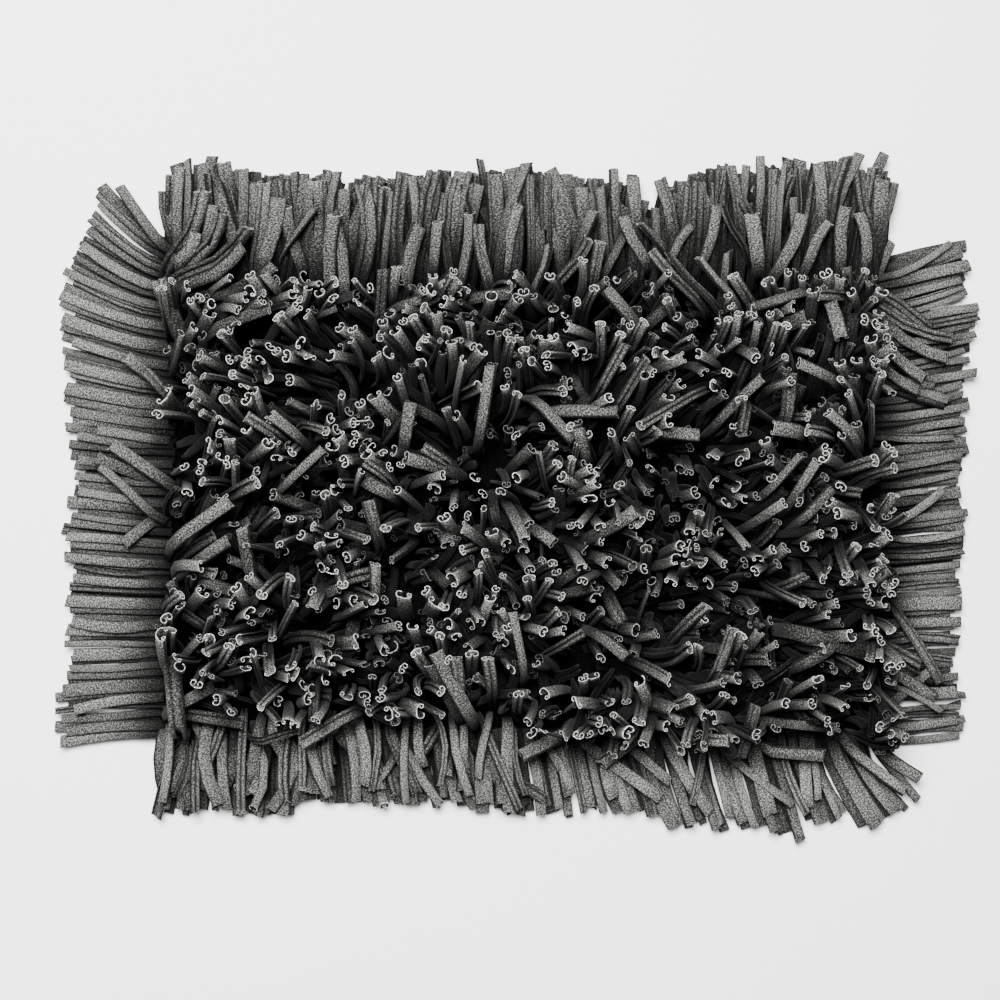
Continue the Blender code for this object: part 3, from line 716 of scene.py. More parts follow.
# Strips that lie over the others, in millimetres: each comes out at x, y and goes to its tip. Width is a
# share of its curl's width, and bow is how far its middle swings to the left.
Lying = collections.namedtuple("Lying", "x y tip_x tip_y tip_height width bow", defaults=(0,))
LYING = (
    Lying(-34, -134, -54, -98, 46, 1.1),
    Lying(-43, -130, -58, -105, 40, 1.1),
    Lying(-41, -121, -44, -102, 46, 1.1),
    Lying(-22, -116, -25, -101, 44, 1.1),
    Lying(-4, -107, -11, -75, 49, 0.8),
    Lying(-30, 31, -25, 68, 46, 1.1),
    Lying(-74, 23, -71, 45, 46, 1.2),
    Lying(-46, 7, -74, 13, 44, 1.2),
    Lying(-48, 10, -63, 19, 48, 1),
    Lying(-147, 24, -165, 35, 47, 1.1),
    Lying(-136, 25, -152, 37, 45, 0.9),
    Lying(-142, -4, -121, 17, 48, 0.85),
    Lying(3, 48, 24, 25, 46, 1),
    Lying(31, 17, 26, 32, 47, 1.1),
    Lying(12, 43, 50, 43, 44, 1.1),
    Lying(40, 57, 54, 83, 46, 0.95),
    Lying(52, 49, 67, 75, 45, 0.95),
    Lying(64, 91, 42, 116, 46, 1.1),
    Lying(-89, -33, -95, -12, 48, 1),
    Lying(-83, 1, -96, 12, 48, 0.95),
    Lying(-82, -7, -98, 1, 44, 1.1),
    Lying(37, -30, 61, -16, 46, 1.1),
    Lying(-204, -37, -173, -14, 46, 1.2),
    Lying(-199, -53, -174, -36, 40, 1.3),
    Lying(-161, -56, -166, -29, 44, 1.2),
    Lying(-199, -148, -204, -102, 38, 1.5),
    Lying(-205, -134, -165, -139, 26, 1),
    Lying(-204, -132, -179, -119, 34, 0.9),
    Lying(-190, -58, -156, -69, 36, 0.95),
    Lying(-210, -73, -186, -86, 34, 1),
    Lying(-203, -67, -206, -60, 40, 1),
    Lying(107, -110, 117, -83, 46, 0.9),
    Lying(122, -159, 132, -126, 34, 1),
    Lying(141, -153, 175, -155, 20, 1.2),
    Lying(135, -135, 182, -139, 30, 0.9),
    Lying(157, -84, 205, -97, 40, 1.2),
    Lying(160, -102, 175, -92, 44, 1.2),
    Lying(-102, -133, -130, -151, 34, 1),
    Lying(-155, -150, -133, -143, 30, 0.9),
    Lying(43, -133, -2, -156, 24, 1.2),
    Lying(67, -144, 43, -162, 20, 1.1),
    Lying(53, -125, 50, -156, 22, 1),
    Lying(188, 109, 188, 137, 36, 1),
    Lying(185, 116, 169, 116, 44, 0.9),
    Lying(165, 120, 128, 106, 42, 1.1),
    Lying(100, 112, 70, 142, 38, 1, 2),
    Lying(110, 109, 80, 140, 40, 1, 2),
    Lying(122, 115, 100, 139, 34, 1, 1.5),
    Lying(-212, 119, -168, 151, 30, 1.3, -8),
    Lying(-209, 114, -171, 139, 34, 1.2, -7),
    Lying(-196, 107, -162, 115, 40, 1.1, -5),
    Lying(-185, 103, -153, 126, 40, 1.1, -6),
    Lying(-217, 129, -196, 175, 22, 1.3, -6),
    Lying(-211, 131, -199, 148, 26, 1.1, -4),
    Lying(-205, 128, -184, 160, 26, 1.2, -6),
    Lying(-194, 133, -189, 166, 22, 1.0),
    Lying(-160, 133, -151, 172, 24, 1.2, -2.5),
    Lying(-138, 134, -147, 167, 22, 1.1, 2),
    Lying(-145, 141, -128, 167, 24, 1.1),
    Lying(-119, 119, -117, 161, 26, 1.2, 2),
    Lying(-111, 118, -120, 164, 22, 1.1, -2.5),
    Lying(-75, 120, -67, 155, 30, 1.3, 1.5),
    Lying(-58, 136, -56, 159, 26, 1.0),
    Lying(27, 136, 38, 168, 26, 1.1, 1.5),
    Lying(15, 123, 34, 150, 30, 1.1, -2.5),
    Lying(36, 119, 41, 148, 30, 1.0),
    Lying(68, 140, 55, 167, 24, 1.1, 2),
    Lying(104, 140, 111, 173, 28, 1.1, -2),
    Lying(130, 147, 115, 172, 30, 1.0, 2.5),
    Lying(80, 147, 65, 162, 26, 1.0),
    Lying(85, 140, 97, 161, 26, 0.9, 2),
    Lying(137, 141, 133, 169, 28, 1.2),
    Lying(150, 137, 163, 169, 30, 1.1, -2.5),
    Lying(115, 116, 118, 144, 30, 1.0),
    Lying(168, 140, 180, 164, 30, 1.1, 2),
    Lying(1, 119, 10, 145, 30, 1.1, -2),
    Lying(-25, 124, -32, 158, 26, 1.2, 2),
    Lying(-41, 128, -37, 165, 24, 1.1, -2),
    Lying(188, 142, 191, 175, 28, 1.2, 2.5),
    Lying(205, 143, 199, 172, 26, 1.0, -2),
    Lying(150, 156, 128, 179, 22, 0.9, 3),
    Lying(-15, 134, -7, 172, 22, 1.0, 2),
    Lying(-188, 94, -152, 125, 42, 1),
    Lying(-187, 86, -154, 101, 45, 1),
    Lying(-204, 78, -219, 116, 34, 1.5),
    Lying(160, -18, 176, 0, 46, 1),
    Lying(139, -2, 158, 19, 45, 1),
    Lying(153, -8, 167, 16, 46, 0.9),
    Lying(176, 2, 194, -2, 42, 1),
    Lying(99, 57, 63, 35, 44, 0.9),
    Lying(64, 33, 99, 31, 38, 1.2),
    Lying(125, 51, 122, 31, 47, 1.1),
    Lying(152, -56, 161, -52, 44, 1.2),
    Lying(17, -94, 30, -86, 46, 0.9),
    Lying(40, -88, 55, -100, 46, 0.9),
    Lying(-110, -58, -90, -53, 46, 1.2),
    Lying(-89, -69, -90, -48, 46, 1),
    Lying(-117, -108, -126, -106, 47, 1.3),
    Lying(-123, -120, -122, -137, 44, 0.9),
    Lying(64, 91, 85, 111, 42, 0.9),
    Lying(177, 114, 183, 90, 44, 1.1),
    Lying(111, 40, 135, 65, 45, 0.9),
    Lying(150, 42, 151, 68, 45, 1.1),
    Lying(180, 64, 157, 74, 46, 1),
    Lying(191, 30, 174, 45, 46, 1),
    Lying(158, 33, 141, 35, 47, 1.1),
    Lying(174, 33, 161, 34, 46, 1),
    Lying(-81, 94, -51, 114, 44, 0.9),
    Lying(-36, 109, -13, 113, 42, 1.1),
    Lying(-90, 97, -88, 126, 40, 1.1),
    Lying(-81, 101, -66, 106, 46, 0.9),
    Lying(-207, 49, -239, 75, 14, 1),
    Lying(-206, 43, -226, 65, 22, 1),
    Lying(-204, -6, -245, 22, 16, 1.2),
    Lying(-217, -3, -254, 15, 11, 1),
    Lying(-215, -20, -238, -37, 12, 0.9),
    Lying(212, 131, 247, 102, 12, 1.1),
    Lying(213, 123, 245, 98, 9, 1),
    Lying(207, 123, 260, 98, 12, 1.0, -7),
    Lying(209, 116, 256, 86, 14, 1.1, -7),
    Lying(205, 107, 241, 72, 16, 1.1, -4),
    Lying(203, 93, 239, 64, 14, 1.0, -5),
    Lying(200, 69, 255, 59, 10, 1.2, 3),
    Lying(203, 76, 249, 68, 12, 0.9, -4),
    Lying(209, -87, 234, -101, 20, 1),
    Lying(208, -93, 234, -107, 14, 1),
    Lying(213, -101, 247, -122, 12, 1.1),
    Lying(214, -122, 214, -155, 12, 1.1),
    Lying(209, -123, 209, -154, 16, 1),
    Lying(216, 93, 218, 101, 20, 1),
    Lying(211, 142, 212, 199, 14, 0.9),
    Lying(218, 143, 221, 201, 9, 0.8),
    Lying(213, 134, 222, 156, 16, 0.8),
    Lying(-214, 134, -215, 189, 12, 1.1),
)

# Hollows, where the pile is low and shows dark, with painted shade added: a line from x0, y0 to x1, y1, and
# how wide the slopes on each side of it are, all in millimetres.
Hollow = collections.namedtuple("Hollow", "x0 y0 x1 y1 width")
HOLLOWS = (
    Hollow(97, 116, 166, 133, 15),
    Hollow(86, 26, 76, -23, 17),
    Hollow(88, 43, 93, 48, 13),
    Hollow(168, 63, 170, 52, 14),
    Hollow(130, 28, 186, 30, 12),
    Hollow(134, 6, 137, -2, 13),
    Hollow(95, -12, 98, -21, 12),
    Hollow(32, -64, 78, -68, 18),
    Hollow(78, -68, 126, -77, 18),
    Hollow(30, -95, 35, -103, 15),
    Hollow(131, -94, 145, -101, 18),
    Hollow(4, -33, 11, -40, 13),
    Hollow(46, -30, 57, -33, 11),
    Hollow(-23, 23, 10, 21, 12),
    Hollow(-43, -8, -38, -15, 13),
    Hollow(-63, 3, -58, -2, 11),
    Hollow(-140, -14, -131, -6, 14),
    Hollow(-3, 82, 10, 86, 11),
    Hollow(-33, 79, -26, 78, 10),
    Hollow(-4, 137, -7, 110, 13),
    Hollow(72, 95, 75, 89, 10),
    Hollow(-106, 98, -103, 89, 11),
    Hollow(-42, 119, -36, 120, 10),
    Hollow(46, 103, 50, 98, 9),
    Hollow(-88, 39, -83, 48, 12),
    Hollow(-120, 50, -119, 39, 10),
    Hollow(-79, -36, -52, -36, 11),
    Hollow(-82, -61, -60, -63, 12),
    Hollow(-184, -57, -161, -61, 13),
    Hollow(-157, -33, -155, -43, 11),
    Hollow(-188, 71, -183, 62, 10),
    Hollow(-211, -11, -202, -15, 10),
    Hollow(-83, -87, -72, -94, 13),
    Hollow(-106, -105, -94, -110, 13),
    Hollow(183, -120, 189, -129, 12),
    Hollow(181, -101, 190, -103, 11),
    Hollow(117, -127, 122, -131, 11),
    Hollow(151, -140, 173, -145, 10),
    Hollow(-16, -138, -10, -146, 11),
    Hollow(-25, -117, -17, -121, 11),
    Hollow(15, -121, 18, -128, 10),
    Hollow(173, -12, 176, -20, 10),
    Hollow(112, -42, 117, -46, 9),
    Hollow(-190, -86, -183, -88, 10),
    Hollow(150, -64, 162, -61, 10),
    Hollow(-207, 50, -200, 48, 9),
)


def staggered(pitch, half_x, half_y, jitter, rng):
    """Points of a staggered lattice within half_x and half_y, each moved by up to jitter times the pitch."""
    row_pitch = pitch * math.sqrt(3) / 2
    rows = int(half_y / row_pitch)
    columns = int(half_x / pitch)
    row, column = np.meshgrid(np.arange(-rows, rows + 1), np.arange(-columns, columns + 1), indexing="ij")
    x = (column + 0.5 * (row % 2) - 0.25) * pitch
    points = np.stack([x.ravel(), (row * row_pitch).ravel()], axis=1)
    return points + rng.uniform(-jitter, jitter, points.shape) * pitch


def charted_lean(points):
    """The pile's lean at each point: the chart's rows, each weighted by exp(-(distance / reach)^2)."""
    chart = np.array(LEANS)
    away = points[:, None] - chart[None, :, :2] * MM
    weight = np.exp(-(away**2).sum(axis=2) / LEAN_REACH**2) + 1e-6
    return (weight @ chart[:, 2:]) / weight.sum(axis=1, keepdims=True)


def hollowness(points):
    """The way out of the nearest hollows, and how deep each point is in one: from 1 on a hollow's line it
    falls as exp(-(distance / width)^2)."""
    way, deep = np.zeros(points.shape), np.zeros(len(points))
    for row in HOLLOWS:
        start = np.array((row.x0, row.y0)) * MM
        run = np.array((row.x1, row.y1)) * MM - start
        share = np.clip(((points - start) @ run) / (run @ run), 0, 1)
        away = points - start - share[:, None] * run
        fall = np.exp(-((np.linalg.norm(away, axis=1) / (row.width * MM)) ** 2))
        way += unit(away) * fall[:, None]
        deep = np.maximum(deep, fall)
    return way, deep


def combed_over(name, rooted, astray_share, high, bows, rng):
    """Paths of strips that lie over the fringe of one edge, and their directions.

    Each follows the fringe's strips from behind its own root to their tips, or goes astray, as a straight
    line bent by share^FAN_CURVE and bowed to one side. Its height is high times COMB_RISE over its root.
    """
    over_edge = fringe[name][0][: sum(group.strips for group in SIDES[name].groups)]
    tip = np.stack([np.interp(rooted[:, 0], over_edge[:, 1, 0], over_edge[:, -1, k]) for k in (0, 1)], axis=1)
    count = len(rooted)
    astray = rng.random(count) < astray_share
    tip[:, 0] += rng.normal(0, 1, count) * np.where(astray, COMB_SPREAD[1], COMB_SPREAD[0]) * MM
    short = rng.uniform(*COMB_SHORT, count)
    tip[:, 1] -= SIDES[name].out[1] * short * np.where(astray, ASTRAY_SHORT, 1) * MM
    ends = over_edge[:, -1, 0]
    tip[:, 0] = np.clip(tip[:, 0], ends.min() - COMB_BEYOND, ends.max() + COMB_BEYOND)
    run = tip - rooted
    paths = np.empty((count, PATH_POINTS, 3))
    paths[..., :2] = rooted[:, None] + run[:, None] * PATH_SHARES[:, None]
    paths[..., 0] += COMB_BOW * bows - run[:, :1] * (PATH_SHARES - PATH_SHARES**FAN_CURVE)
    paths[..., 2] = ROOT_HEIGHT
    paths[..., 2] += high[:, None] * np.interp(PATH_SHARES, *COMB_RISE)
    return paths, unit(run)


def refined(paths, shares):
    """Points of smooth curves through the paths' points, at the given shares of the way along them.

    Between two points the curve is the cubic that passes through them, and whose slope at each is half the
    step between that point's two neighbours.
    """
    last = paths.shape[1] - 1
    slopes = np.gradient(paths, axis=1)
    at = np.clip(np.asarray(shares) * last, 0, last)
    k = np.minimum(at.astype(int), last - 1)
    t = (at - k)[None, :, None]
    begin, end, leave, arrive = paths[:, k], paths[:, k + 1], slopes[:, k], slopes[:, k + 1]
    return (
        (2 * t**3 - 3 * t**2 + 1) * begin + (t**3 - 2 * t**2 + t) * leave
        + (3 * t**2 - 2 * t**3) * end + (t**3 - t**2) * arrive
    )


def close_pairs(points, reach):
    """Index pairs of points nearer than reach. Points are sorted by the cube of side reach that holds each,
    and each point is set against those in its own cube and in 13 of the 26 round it."""
    cube = np.floor(points / reach).astype(np.int64)
    cube -= cube.min(axis=0) - 1
    size = cube.max(axis=0) + 2
    key = (cube[:, 0] * size[1] + cube[:, 1]) * size[2] + cube[:, 2]
    order = np.argsort(key, kind="stable")
    ranked = key[order]
    first, second = [], []
    steps = [(i, j, k) for i in (-1, 0, 1) for j in (-1, 0, 1) for k in (-1, 0, 1) if (i, j, k) >= (0, 0, 0)]
    for i, j, k in steps:
        target = key + (i * size[1] + j) * size[2] + k
        low = np.searchsorted(ranked, target, "left")
        found = np.searchsorted(ranked, target, "right") - low
        one = np.repeat(np.arange(len(points)), found)
        begin = np.cumsum(found) - found
        other = order[np.arange(found.sum()) - np.repeat(begin - low, found)]
        if (i, j, k) == (0, 0, 0):
            one, other = one[one < other], other[one < other]
        first.append(one)
        second.append(other)
    first, second = np.concatenate(first), np.concatenate(second)
    near = ((points[first] - points[second]) ** 2).sum(axis=1) < reach**2
    return first[near], second[near]


SETTLE_STEPS = 160
RESORT_STEPS = 4  # how often the close pairs are looked for again
RESORT_REACH = 2 * MM  # how much further apart those may be
PUSH_SHARE = 0.5
EVENING = 0.15


def settle(goal, firmness, still, steps):
    """Strips pushed apart by their neighbours, in small steps.

    Beads lie on each path's points and halfway between them, and the still ones never move. In each step a
    bead moves away from each bead of another strip that is too near, by PUSH_SHARE of half their overlap,
    and one that is halfway moves the points on both sides by half as much. Then each point goes a little
    way to its goal, by firmness, has its distance from its goal evened out with its two neighbours', is
    kept above the base or the floor, and is set back at its own length from the point before.
    """
    paths = goal.copy()
    count, points = goal.shape[:2]
    length = np.linalg.norm(np.diff(goal, axis=1), axis=2)
    strip_of = np.repeat(np.arange(count), 2 * points - 1)
    strip_of = np.concatenate([strip_of, np.full(len(still), -1)])
    room = 2 * STRIP_RADIUS
    for step in range(steps):
        beads = np.empty((count, 2 * points - 1, 3))
        beads[:, ::2] = paths
        beads[:, 1::2] = (paths[:, 1:] + paths[:, :-1]) / 2
        every = np.concatenate([beads.reshape(-1, 3), still])
        if step % RESORT_STEPS == 0:
            one, other = close_pairs(every, room + RESORT_REACH)
            apart = strip_of[one] != strip_of[other]
            one, other = one[apart], other[apart]
        gap = every[one] - every[other]
        far = np.linalg.norm(gap, axis=1)
        push = gap * (np.maximum(room - far, 0) / np.maximum(far, 1e-6))[:, None] * 0.5
        move = np.stack([
            np.bincount(one, push[:, k], len(every)) - np.bincount(other, push[:, k], len(every))
            for k in range(3)
        ], axis=1)[: beads.size // 3].reshape(beads.shape) * PUSH_SHARE
        paths += move[:, ::2]
        paths[:, 1:] += move[:, 1::2] / 2
        paths[:, :-1] += move[:, 1::2] / 2
        moved = (paths - goal) * (1 - firmness[:, None, None])
        moved[:, 1:-1] += ((moved[:, 2:] + moved[:, :-2]) / 2 - moved[:, 1:-1]) * EVENING
        paths = goal + moved
        on_base = (np.abs(paths[..., 0]) < HALF_LENGTH) & (np.abs(paths[..., 1]) < HALF_WIDTH)
        lowest = STRIP_THICK / 2 + np.where(on_base, BASE_TOP, 0)
        paths[..., 2] = np.clip(paths[..., 2], lowest, PILE_TOP)
        paths[:, 0] = goal[:, 0]
        for k in range(1, points):
            way = unit(paths[:, k] - paths[:, k - 1])
            paths[:, k] = paths[:, k - 1] + way * length[:, k - 1, None]
    return paths


# The standing strips: their roots, their leans, and the paths that they would take on their own.
rng = np.random.default_rng(PILE_SEED)
roots = staggered(ROOT_PITCH, HALF_LENGTH - LATTICE_MARGIN, HALF_WIDTH - LATTICE_MARGIN, ROOT_JITTER, rng)
root_limit = np.array((HALF_LENGTH - ROOT_MARGIN, HALF_WIDTH - ROOT_MARGIN))
roots = roots[(np.abs(roots) < root_limit).all(axis=1)]
tufts = staggered(TUFT_PITCH, HALF_LENGTH + TUFT_PITCH, HALF_WIDTH + TUFT_PITCH, TUFT_JITTER, rng)
tuft_lean = rng.normal(0, TUFT_LEAN, tufts.shape)
tuft_of = np.linalg.norm(roots[:, None] - tufts[None], axis=2).argmin(axis=1)
lean = charted_lean(roots)
chart_size = np.clip(np.linalg.norm(lean, axis=1, keepdims=True), 0, ORDERLY_LEAN)
disorder = 1 - KEPT_ORDER * chart_size / ORDERLY_LEAN
way_out, hollow = hollowness(roots)
own_lean = rng.normal(0, OWN_LEAN, roots.shape)
lean = CHART_GAIN * lean + (tuft_lean[tuft_of] + own_lean) * disorder + HOLLOW_LEAN * way_out
root_x, root_y = roots.T / MM
least = np.stack([np.interp(root_y, *LEFT_TIPS) - root_x, np.interp(root_x, *FRONT_TIPS) - root_y], axis=1)
most = np.stack([np.interp(root_y, *RIGHT_TIPS) - root_x, np.interp(root_x, *BACK_TIPS) - root_y], axis=1)
lean = np.clip(lean, np.minimum(least, 0) * MM / OVER, np.maximum(most, 0) * MM / OVER)
tilt = np.minimum(np.linalg.norm(lean, axis=1), MOST_LEAN) * FULL_TILT
towards = unit(lean)

# A hooked strip's tilt grows along it from nothing, and a straight one has the same all along. Flatness is
# 0 for a strip that stands and 1 for one that lies flat.
flatness = np.clip(tilt / FULL_TILT - FLAT_FROM, 0, FLAT_RANGE)[:, None] / FLAT_RANGE
hook = rng.uniform(0, 1, (len(roots), 1)) * (1 - HOOK_LOSS * flatness)
straight = STRAIGHT_TILT + FLAT_TILT * flatness
bent = (1 - hook) * straight + hook * HOOK_TILT * PATH_SHARES[None, 1:]
node_tilt = np.minimum(tilt[:, None] * bent, MOST_TILT)
length = STRIP_LENGTH * rng.uniform(*LENGTH_SPREAD, len(roots)) * (1 - HOLLOW_SHORTER * hollow)
step_length = (length / (PATH_POINTS - 1))[:, None]
level = towards[:, None] * (np.sin(node_tilt) * step_length)[..., None]
rise = (np.cos(node_tilt) * step_length)[..., None]
steps = np.concatenate([level, rise], axis=2)
start = np.concatenate([roots, np.full((len(roots), 1), ROOT_HEIGHT)], axis=1)[:, None]
goal = np.concatenate([start, start + np.cumsum(steps, axis=1)], axis=1)
bow = rng.normal(0, PILE_BOW, (len(roots), 1, 1)) * np.sin(math.pi * PATH_SHARES)[None, :, None]
goal[..., :2] += bow * np.stack([-towards[:, 1], towards[:, 0]], axis=1)[:, None]
left_end = (np.interp(root_y, *LEFT_TIPS)[:, None] - TIP_SLACK) * MM
right_end = (np.interp(root_y, *RIGHT_TIPS)[:, None] + TIP_SLACK) * MM
goal[:, 2:, 0] = np.clip(goal[:, 2:, 0], left_end, right_end)

# The rows that are combed over the back fringe, and over the left half of the front fringe.
back_rows = roots[:, 1] > BACK_ROWS
back_high = (COMB_LOW + BACK_HIGH * (HALF_WIDTH - roots[back_rows, 1]) / (HALF_WIDTH - BACK_ROWS)) * MM
back_astray = np.where(roots[back_rows, 0] > UNRULY_FROM, BACK_ASTRAY[1], BACK_ASTRAY[0])
goal[back_rows], towards[back_rows] = combed_over(
    "fringe_back", roots[back_rows], back_astray, back_high, bow[back_rows, :, 0], rng
)
front_rows = (roots[:, 1] < FRONT_ROWS) & (roots[:, 0] < FRONT_END)
front_high = (COMB_LOW + FRONT_HIGH * (HALF_WIDTH + roots[front_rows, 1]) / (HALF_WIDTH + FRONT_ROWS)) * MM
goal[front_rows], towards[front_rows] = combed_over(
    "fringe_front", roots[front_rows], FRONT_ASTRAY, front_high, bow[front_rows, :, 0],
    np.random.default_rng(FRONT_SEED),
)
flatness[back_rows | front_rows] = 1

# A lying strip rises from its root, which is up to 14 mm behind where it comes out, and bends over to its
# tip. Each path goes through five knots: the root, a place on the way up, where it comes out, halfway to
# the tip, and the tip.
LYING_BEHIND = 0.4  # of the tip's height
LYING_BEHIND_MOST = 14 * MM
RISING_AT = (0.45, 0.55)  # shares of the root's place and of the place where the strip comes out
RISING_HEIGHT = 0.62
BEND_DROP = 3 * MM
LYING_SHARES = (0, 0.17, 0.34, 0.5, 0.66, 0.83, 1.0)
LYING_FLATNESS = 0.6
lying = np.array(LYING)
out_at, tip_at = lying[:, :2] * MM, lying[:, 2:4] * MM
tip_high = lying[:, 4] * MM
lying_width = lying[:, 5]
over = unit(tip_at - out_at)
lying_bow = np.stack([-over[:, 1], over[:, 0]], axis=1) * lying[:, 6:] * MM
lying_root = out_at - over * np.minimum(tip_high * LYING_BEHIND, LYING_BEHIND_MOST)[:, None]
lying_root = np.clip(lying_root, -root_limit, root_limit)
knots = np.stack([
    np.column_stack([lying_root, np.full(len(lying), ROOT_HEIGHT)]),
    np.column_stack([lying_root * RISING_AT[0] + out_at * RISING_AT[1], tip_high * RISING_HEIGHT]),
    np.column_stack([out_at, tip_high - BEND_DROP]),
    np.column_stack([(out_at + tip_at) / 2 + lying_bow, tip_high]),
    np.column_stack([tip_at, tip_high]),
], axis=1)
goal = np.concatenate([goal, refined(knots, LYING_SHARES)])
towards = np.concatenate([towards, over])
roots = np.concatenate([roots, lying_root])
flatness = np.concatenate([flatness[:, 0], np.full(len(lying), LYING_FLATNESS)])
not_lying = np.zeros(len(lying), bool)
is_lying = np.arange(len(roots)) >= len(roots) - len(lying)
combed_back = np.concatenate([back_rows, not_lying])
combed_front = np.concatenate([front_rows, not_lying])
combed = combed_back | combed_front

# All of them settle against each other, and against the fringe, which stays where it is. A lying strip is
# held more firmly to its path than a standing one.
LYING_FIRMNESS = 0.08
PILE_FIRMNESS = 0.015
STILL_SHARES = np.linspace(0.05, 1, 10)
still = np.concatenate([refined(row[0], STILL_SHARES).reshape(-1, 3) for row in fringe.values()])
firmness = np.where(is_lying, LYING_FIRMNESS, PILE_FIRMNESS)
settled = settle(goal, firmness, still, SETTLE_STEPS)

# Sections are closest where a strip bends most: near the tip of a standing one, and near the root of a
# combed one. The cloth is turned about its path by a chance angle that changes along it, less so the
# flatter the strip lies.
PILE_SHARES = np.array((0.05, 0.35, 0.58, 0.76, 0.9, 1.0))
COMB_SHARES = np.array((0.02, 0.14, 0.28, 0.5, 0.76, 1.0))
TURN_SPREAD = 34  # degrees
TURN_KEPT = 0.65
TWIST_SPREAD = 22
PILE_FACE_DOWN = 0.6
PILE_WIDTH = 0.91
PILE_WIDTH_SPREAD = 0.13
PILE_WIDTH_LIMITS = (0.62, 1.3)
FLAT_WIDER = 0.1
BACK_WIDTHS = (0.85, 1.3)
FRONT_WIDTH = 0.88
GATHERED = np.array((0.75, 0.85, 0.92, 0.97, 1, 1))  # widths at the sections, drawn in by the knot
shares = np.where(combed[:, None], COMB_SHARES, PILE_SHARES)
pile_paths = np.where(combed[:, None, None], refined(settled, COMB_SHARES), refined(settled, PILE_SHARES))
level_across = np.stack([-towards[:, 1], towards[:, 0], np.zeros(len(roots))], axis=1)[:, None]
turned = rng.normal(0, TURN_SPREAD, len(roots)) * (1 - TURN_KEPT * flatness)
turned = turned[:, None] + rng.normal(0, TWIST_SPREAD, (len(roots), 1)) * PILE_SHARES
turned = np.radians(turned)[..., None]
ahead = unit(np.gradient(pile_paths, axis=1))
square = unit(np.cross(ahead, level_across))
pile_across = level_across * np.cos(turned) + square * np.sin(turned)
pile_across *= np.where(rng.random(len(roots)) < PILE_FACE_DOWN, -1.0, 1.0)[:, None, None]
pile_width = np.clip(rng.normal(PILE_WIDTH, PILE_WIDTH_SPREAD, len(roots)), *PILE_WIDTH_LIMITS)
pile_width *= 1 + FLAT_WIDER * flatness
pile_width[combed_back] *= rng.uniform(*BACK_WIDTHS, combed_back.sum())
pile_width[combed_front] *= FRONT_WIDTH
pile_width[is_lying] = lying_width
pile_widths = pile_width[:, None] * GATHERED

# Light between the strips, painted as shade: little of it comes down to their roots, so the pile is black
# inside. It is worked out once for all the strips, from what lies over each, and each point keeps its own
# share as the attribute lit, which the jersey and its cut edges multiply into their colour.
BEADS = 11
BEAD_SHARES = np.linspace(0, 1, BEADS)
COVER_REACH = 15 * MM
COVER = 3.6
LEVEL = 0.3  # a bead covers only what is lower by more than this share of its distance

# Shares of a strip's length, or of its reach in the fringe, and how much light its neighbours leave there.
STANDING_LIT = ((0, 0.3, 0.7, 1), (0.0, 0.03, 0.38, 0.94))
LEANING_LIT = ((0, 0.35, 0.65, 1), (0.0, 0.06, 0.58, 1.04))
OUTER_LIT = ((0, 0.3, 0.7, 1), (0.1, 0.28, 0.6, 0.94))
LYING_LIT = ((0, 0.3, 0.5, 1), (0.0, 0.08, 0.6, 0.86))
BACK_LIT = ((0, 0.2, 0.5, 1), (0.0, 0.07, 0.54, 0.98))
FRONT_LIT = ((0, 0.15, 0.35, 1), (0.12, 0.5, 0.96, 1.1))
FRINGE_LIT = ((0, 0.3, 0.6), (0.15, 0.82, 1.02))
FRONT_FRINGE_GAIN = 1.14

# The power that the cover's light is raised to: the smaller, the less a strip's cover dims it.
OUTER_COVERED = 0.5
LYING_COVERED = 0.6
BACK_COVERED = 0.45
FRONT_COVERED = 0.25
FRINGE_COVERED = 0.34
OUTER_DEPTH = 10 * MM  # how far in from the base's edge the pile is lit from the side
HOLLOW_LOSS = 0.7


def daylight(beads):
    """How much light comes down to each point of each strip: e^(-COVER * c), where c adds up the points of
    other strips above it, each as the rise to it over the distance, less LEVEL, times
    1 - distance / COVER_REACH."""
    points = beads.shape[1]
    every = beads.reshape(-1, 3)
    one, other = close_pairs(every, COVER_REACH)
    apart = one // points != other // points
    one, other = one[apart], other[apart]
    gap = every[other] - every[one]
    far = np.maximum(np.linalg.norm(gap, axis=1), 1e-6)
    rise = gap[:, 2] / far
    near = 1 - far / COVER_REACH
    cover = np.bincount(one, np.clip(rise - LEVEL, 0, 1) * near, len(every))
    cover += np.bincount(other, np.clip(-rise - LEVEL, 0, 1) * near, len(every))
    return np.exp(-COVER * cover).reshape(beads.shape[:2])


beads = np.concatenate([
    refined(settled, BEAD_SHARES), *(refined(row[0], BEAD_SHARES) for row in fringe.values())
])
light = daylight(beads)
pile_light = np.stack([np.interp(at, BEAD_SHARES, row) for at, row in zip(shares, light[: len(roots)])])
standing = np.interp(PILE_SHARES, *STANDING_LIT)
leaning = np.interp(PILE_SHARES, *LEANING_LIT)
outer = np.interp(PILE_SHARES, *OUTER_LIT)
from_edge = np.minimum(HALF_LENGTH - np.abs(roots[:, 0]), HALF_WIDTH - np.abs(roots[:, 1]))
outermost = np.exp(-from_edge / OUTER_DEPTH)[:, None]
pile_lit = standing + (leaning - standing) * flatness[:, None]
pile_lit = pile_light ** (1 - OUTER_COVERED * outermost) * (pile_lit + (outer - pile_lit) * outermost)
# Painted shade: strips deep in a hollow are drawn darker, by up to HOLLOW_LOSS of their light.
pile_lit[: len(hollow)] *= 1 - HOLLOW_LOSS * hollow[:, None]
pile_lit[is_lying] = pile_light[is_lying] ** LYING_COVERED * np.interp(PILE_SHARES, *LYING_LIT)
pile_lit[combed_back] = pile_light[combed_back] ** BACK_COVERED * np.interp(COMB_SHARES, *BACK_LIT)
pile_lit[combed_front] = pile_light[combed_front] ** FRONT_COVERED * np.interp(COMB_SHARES, *FRONT_LIT)
fringe_shares = np.linspace(0, 1, len(FRINGE_SHARES))
